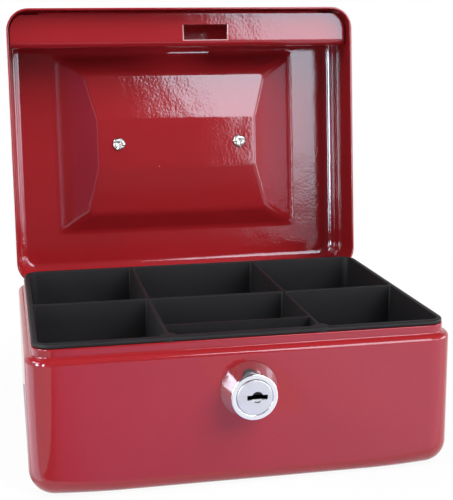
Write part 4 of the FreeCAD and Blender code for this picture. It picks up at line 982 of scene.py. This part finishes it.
panel_light("left_glow", -54.0, -47.3, glow_heights, DIM, colour=VIOLET)
panel_light("left_glow_inner", -46.3, -42.0, glow_heights, DIM, colour=VIOLET)
panel_light("front_card", -62.0, 15.0, np.linspace(ABOVE_TABLE, 40, 9), DARK, distance=2.0)
panel_light("ceiling_card", -180.0, 180.0, np.linspace(26, 89.9, 9), DARK, distance=2.1)
ahead = np.array([[-0.9, -0.28, 0.001], [0.15, -0.28, 0.001], [0.165, -0.7, 0.001], [0.46, -2.2, 0.001],
                  [-0.9, -2.2, 0.001]])
aside = np.array([[-0.224, -0.15, 0.03], [-0.16, -0.15, 0.03], [-0.16, -0.15, 0.22], [-0.224, -0.15, 0.22]])
above = np.array([[-0.08, 0.068, 0.1665], [0.1, 0.068, 0.1665], [0.1, 0.068, 0.187], [-0.08, 0.068, 0.187]])
for name, corners, like in (("table_edge", ahead, "front_card"), ("flag", aside, "left_glow"),
                            ("lid_flag", above, "white_table")):
    for_mirrors_only(stage_mesh(name, corners, np.arange(len(corners))[None], bpy.data.materials[like]))

# %% [markdown]
# ### Sheets on the table
#
# The box's upright walls mirror the table near them, and the picture's table is not one even white: in
# front it runs from violet at the left to a pale lilac at the right, at the left it is bright, and close
# along the left wall it is dull. The floor itself has to stay white to the camera, so thin glowing sheets
# that only mirrors show lie just above it. A white patch ahead of the lock, a little to its right, shows in
# the lock instead of the lilac.

# %% Sheets on the table
def flat_sheet(name, corners, height, finish):
    """A flat sheet on the table, its corners given as X and Y."""
    points = np.column_stack([corners, np.full(len(corners), height)])
    for_mirrors_only(stage_mesh(name, points, np.array([[0, 1, 2, 3]]), finish))


table_sheet, shader, place = new_finish("table_sheet")
across = place.axes()[0]
lilac = across.ramp(-0.055, 0.085, 0.0, 1.0).shade((0.58, 0.55, 0.90), (1.3, 1.35, 1.6))
fade_in = across.ramp(-0.076, -0.052, 0.2, 1.0)
glow_only(table_sheet, shader, place,
          place.node("ShaderNodeVectorMath", {"operation": "SCALE"}, {0: lilac, "Scale": fade_in}))
side_sheet, *parts = new_finish("side_sheet")
glow_only(side_sheet, *parts, (1.0, 0.93, 1.0), 2.4)
# Painted shadow: the dim side_shade sheet along the left wall stands for the box's shadow on the table,
# shown only in reflections.
side_shade, *parts = new_finish("side_shade")
glow_only(side_shade, *parts, (0.95, 0.9, 1.0), 0.5)
in_front = [(-0.088, -0.275), (0.5, -0.275), (0.5, -0.066), (-0.088, -0.066)]
ahead_of_lock = [(0.008, -0.21), (0.042, -0.21), (0.042, -0.125), (0.008, -0.125)]
at_left = [(-0.0775, -0.061), (-0.24, -0.061), (-0.24, 0.1), (-0.19, 0.1)]
along_wall = [(-0.082, -0.05), (-0.0765, -0.05), (-0.0765, 0.066), (-0.082, 0.066)]
flat_sheet("table_sheet", in_front, 0.001, table_sheet)
flat_sheet("lock_sheet", ahead_of_lock, 0.0015, white_table)
flat_sheet("side_sheet", at_left, 0.001, side_sheet)
flat_sheet("side_shade", along_wall, 0.0012, side_shade)

# %% [markdown]
# ### Soft lamps and the tent
#
# Panels that only mirrors show leave the colours themselves unlit, so two wide soft lamps light them: a key
# from the front right and a fill for the back, which the picture doesn't show but other views do. Mirrors
# don't see the lamps. The tent is the world: white to the camera and to mirrors, and faint as a light.

# %% Soft lamps
LAMP_DISTANCE, LAMP_SIZE = 1.8, 1.7


def soft_lamp(name, azimuth, elevation, energy):
    """A wide round lamp aimed at the lid, that no mirror shows."""
    azimuth, elevation = math.radians(azimuth), math.radians(elevation)
    towards = Vector((math.sin(azimuth) * math.cos(elevation), -math.cos(azimuth) * math.cos(elevation),
                      math.sin(elevation)))
    lamp = bpy.data.objects.new(name, bpy.data.lights.new(name, "AREA"))
    lamp.data.shape, lamp.data.size, lamp.data.energy = "DISK", LAMP_SIZE, energy
    lamp.location = Vector(LID_CENTRE) + LAMP_DISTANCE * towards
    lamp.rotation_euler = towards.to_track_quat("Z", "Y").to_euler()
    lamp.visible_glossy = lamp.visible_camera = False
    bpy.context.collection.objects.link(lamp)
    print(name, round(energy), "W at", [round(v, 2) for v in lamp.location])


soft_lamp("key", 40.0, 40.0, 45.5)
soft_lamp("rear_fill", 205.0, 32.0, 34.0)

# %% World
world = bpy.data.worlds.new("white_studio")
bpy.context.scene.world = world
world.use_nodes = True
tree = world.node_tree
tent = is_seen(tree).shade((0.08, 0.08, 0.08), (1, 1, 1))
tree.links.new(tent.socket, tree.nodes["Background"].inputs["Color"])
print("world", world.name)
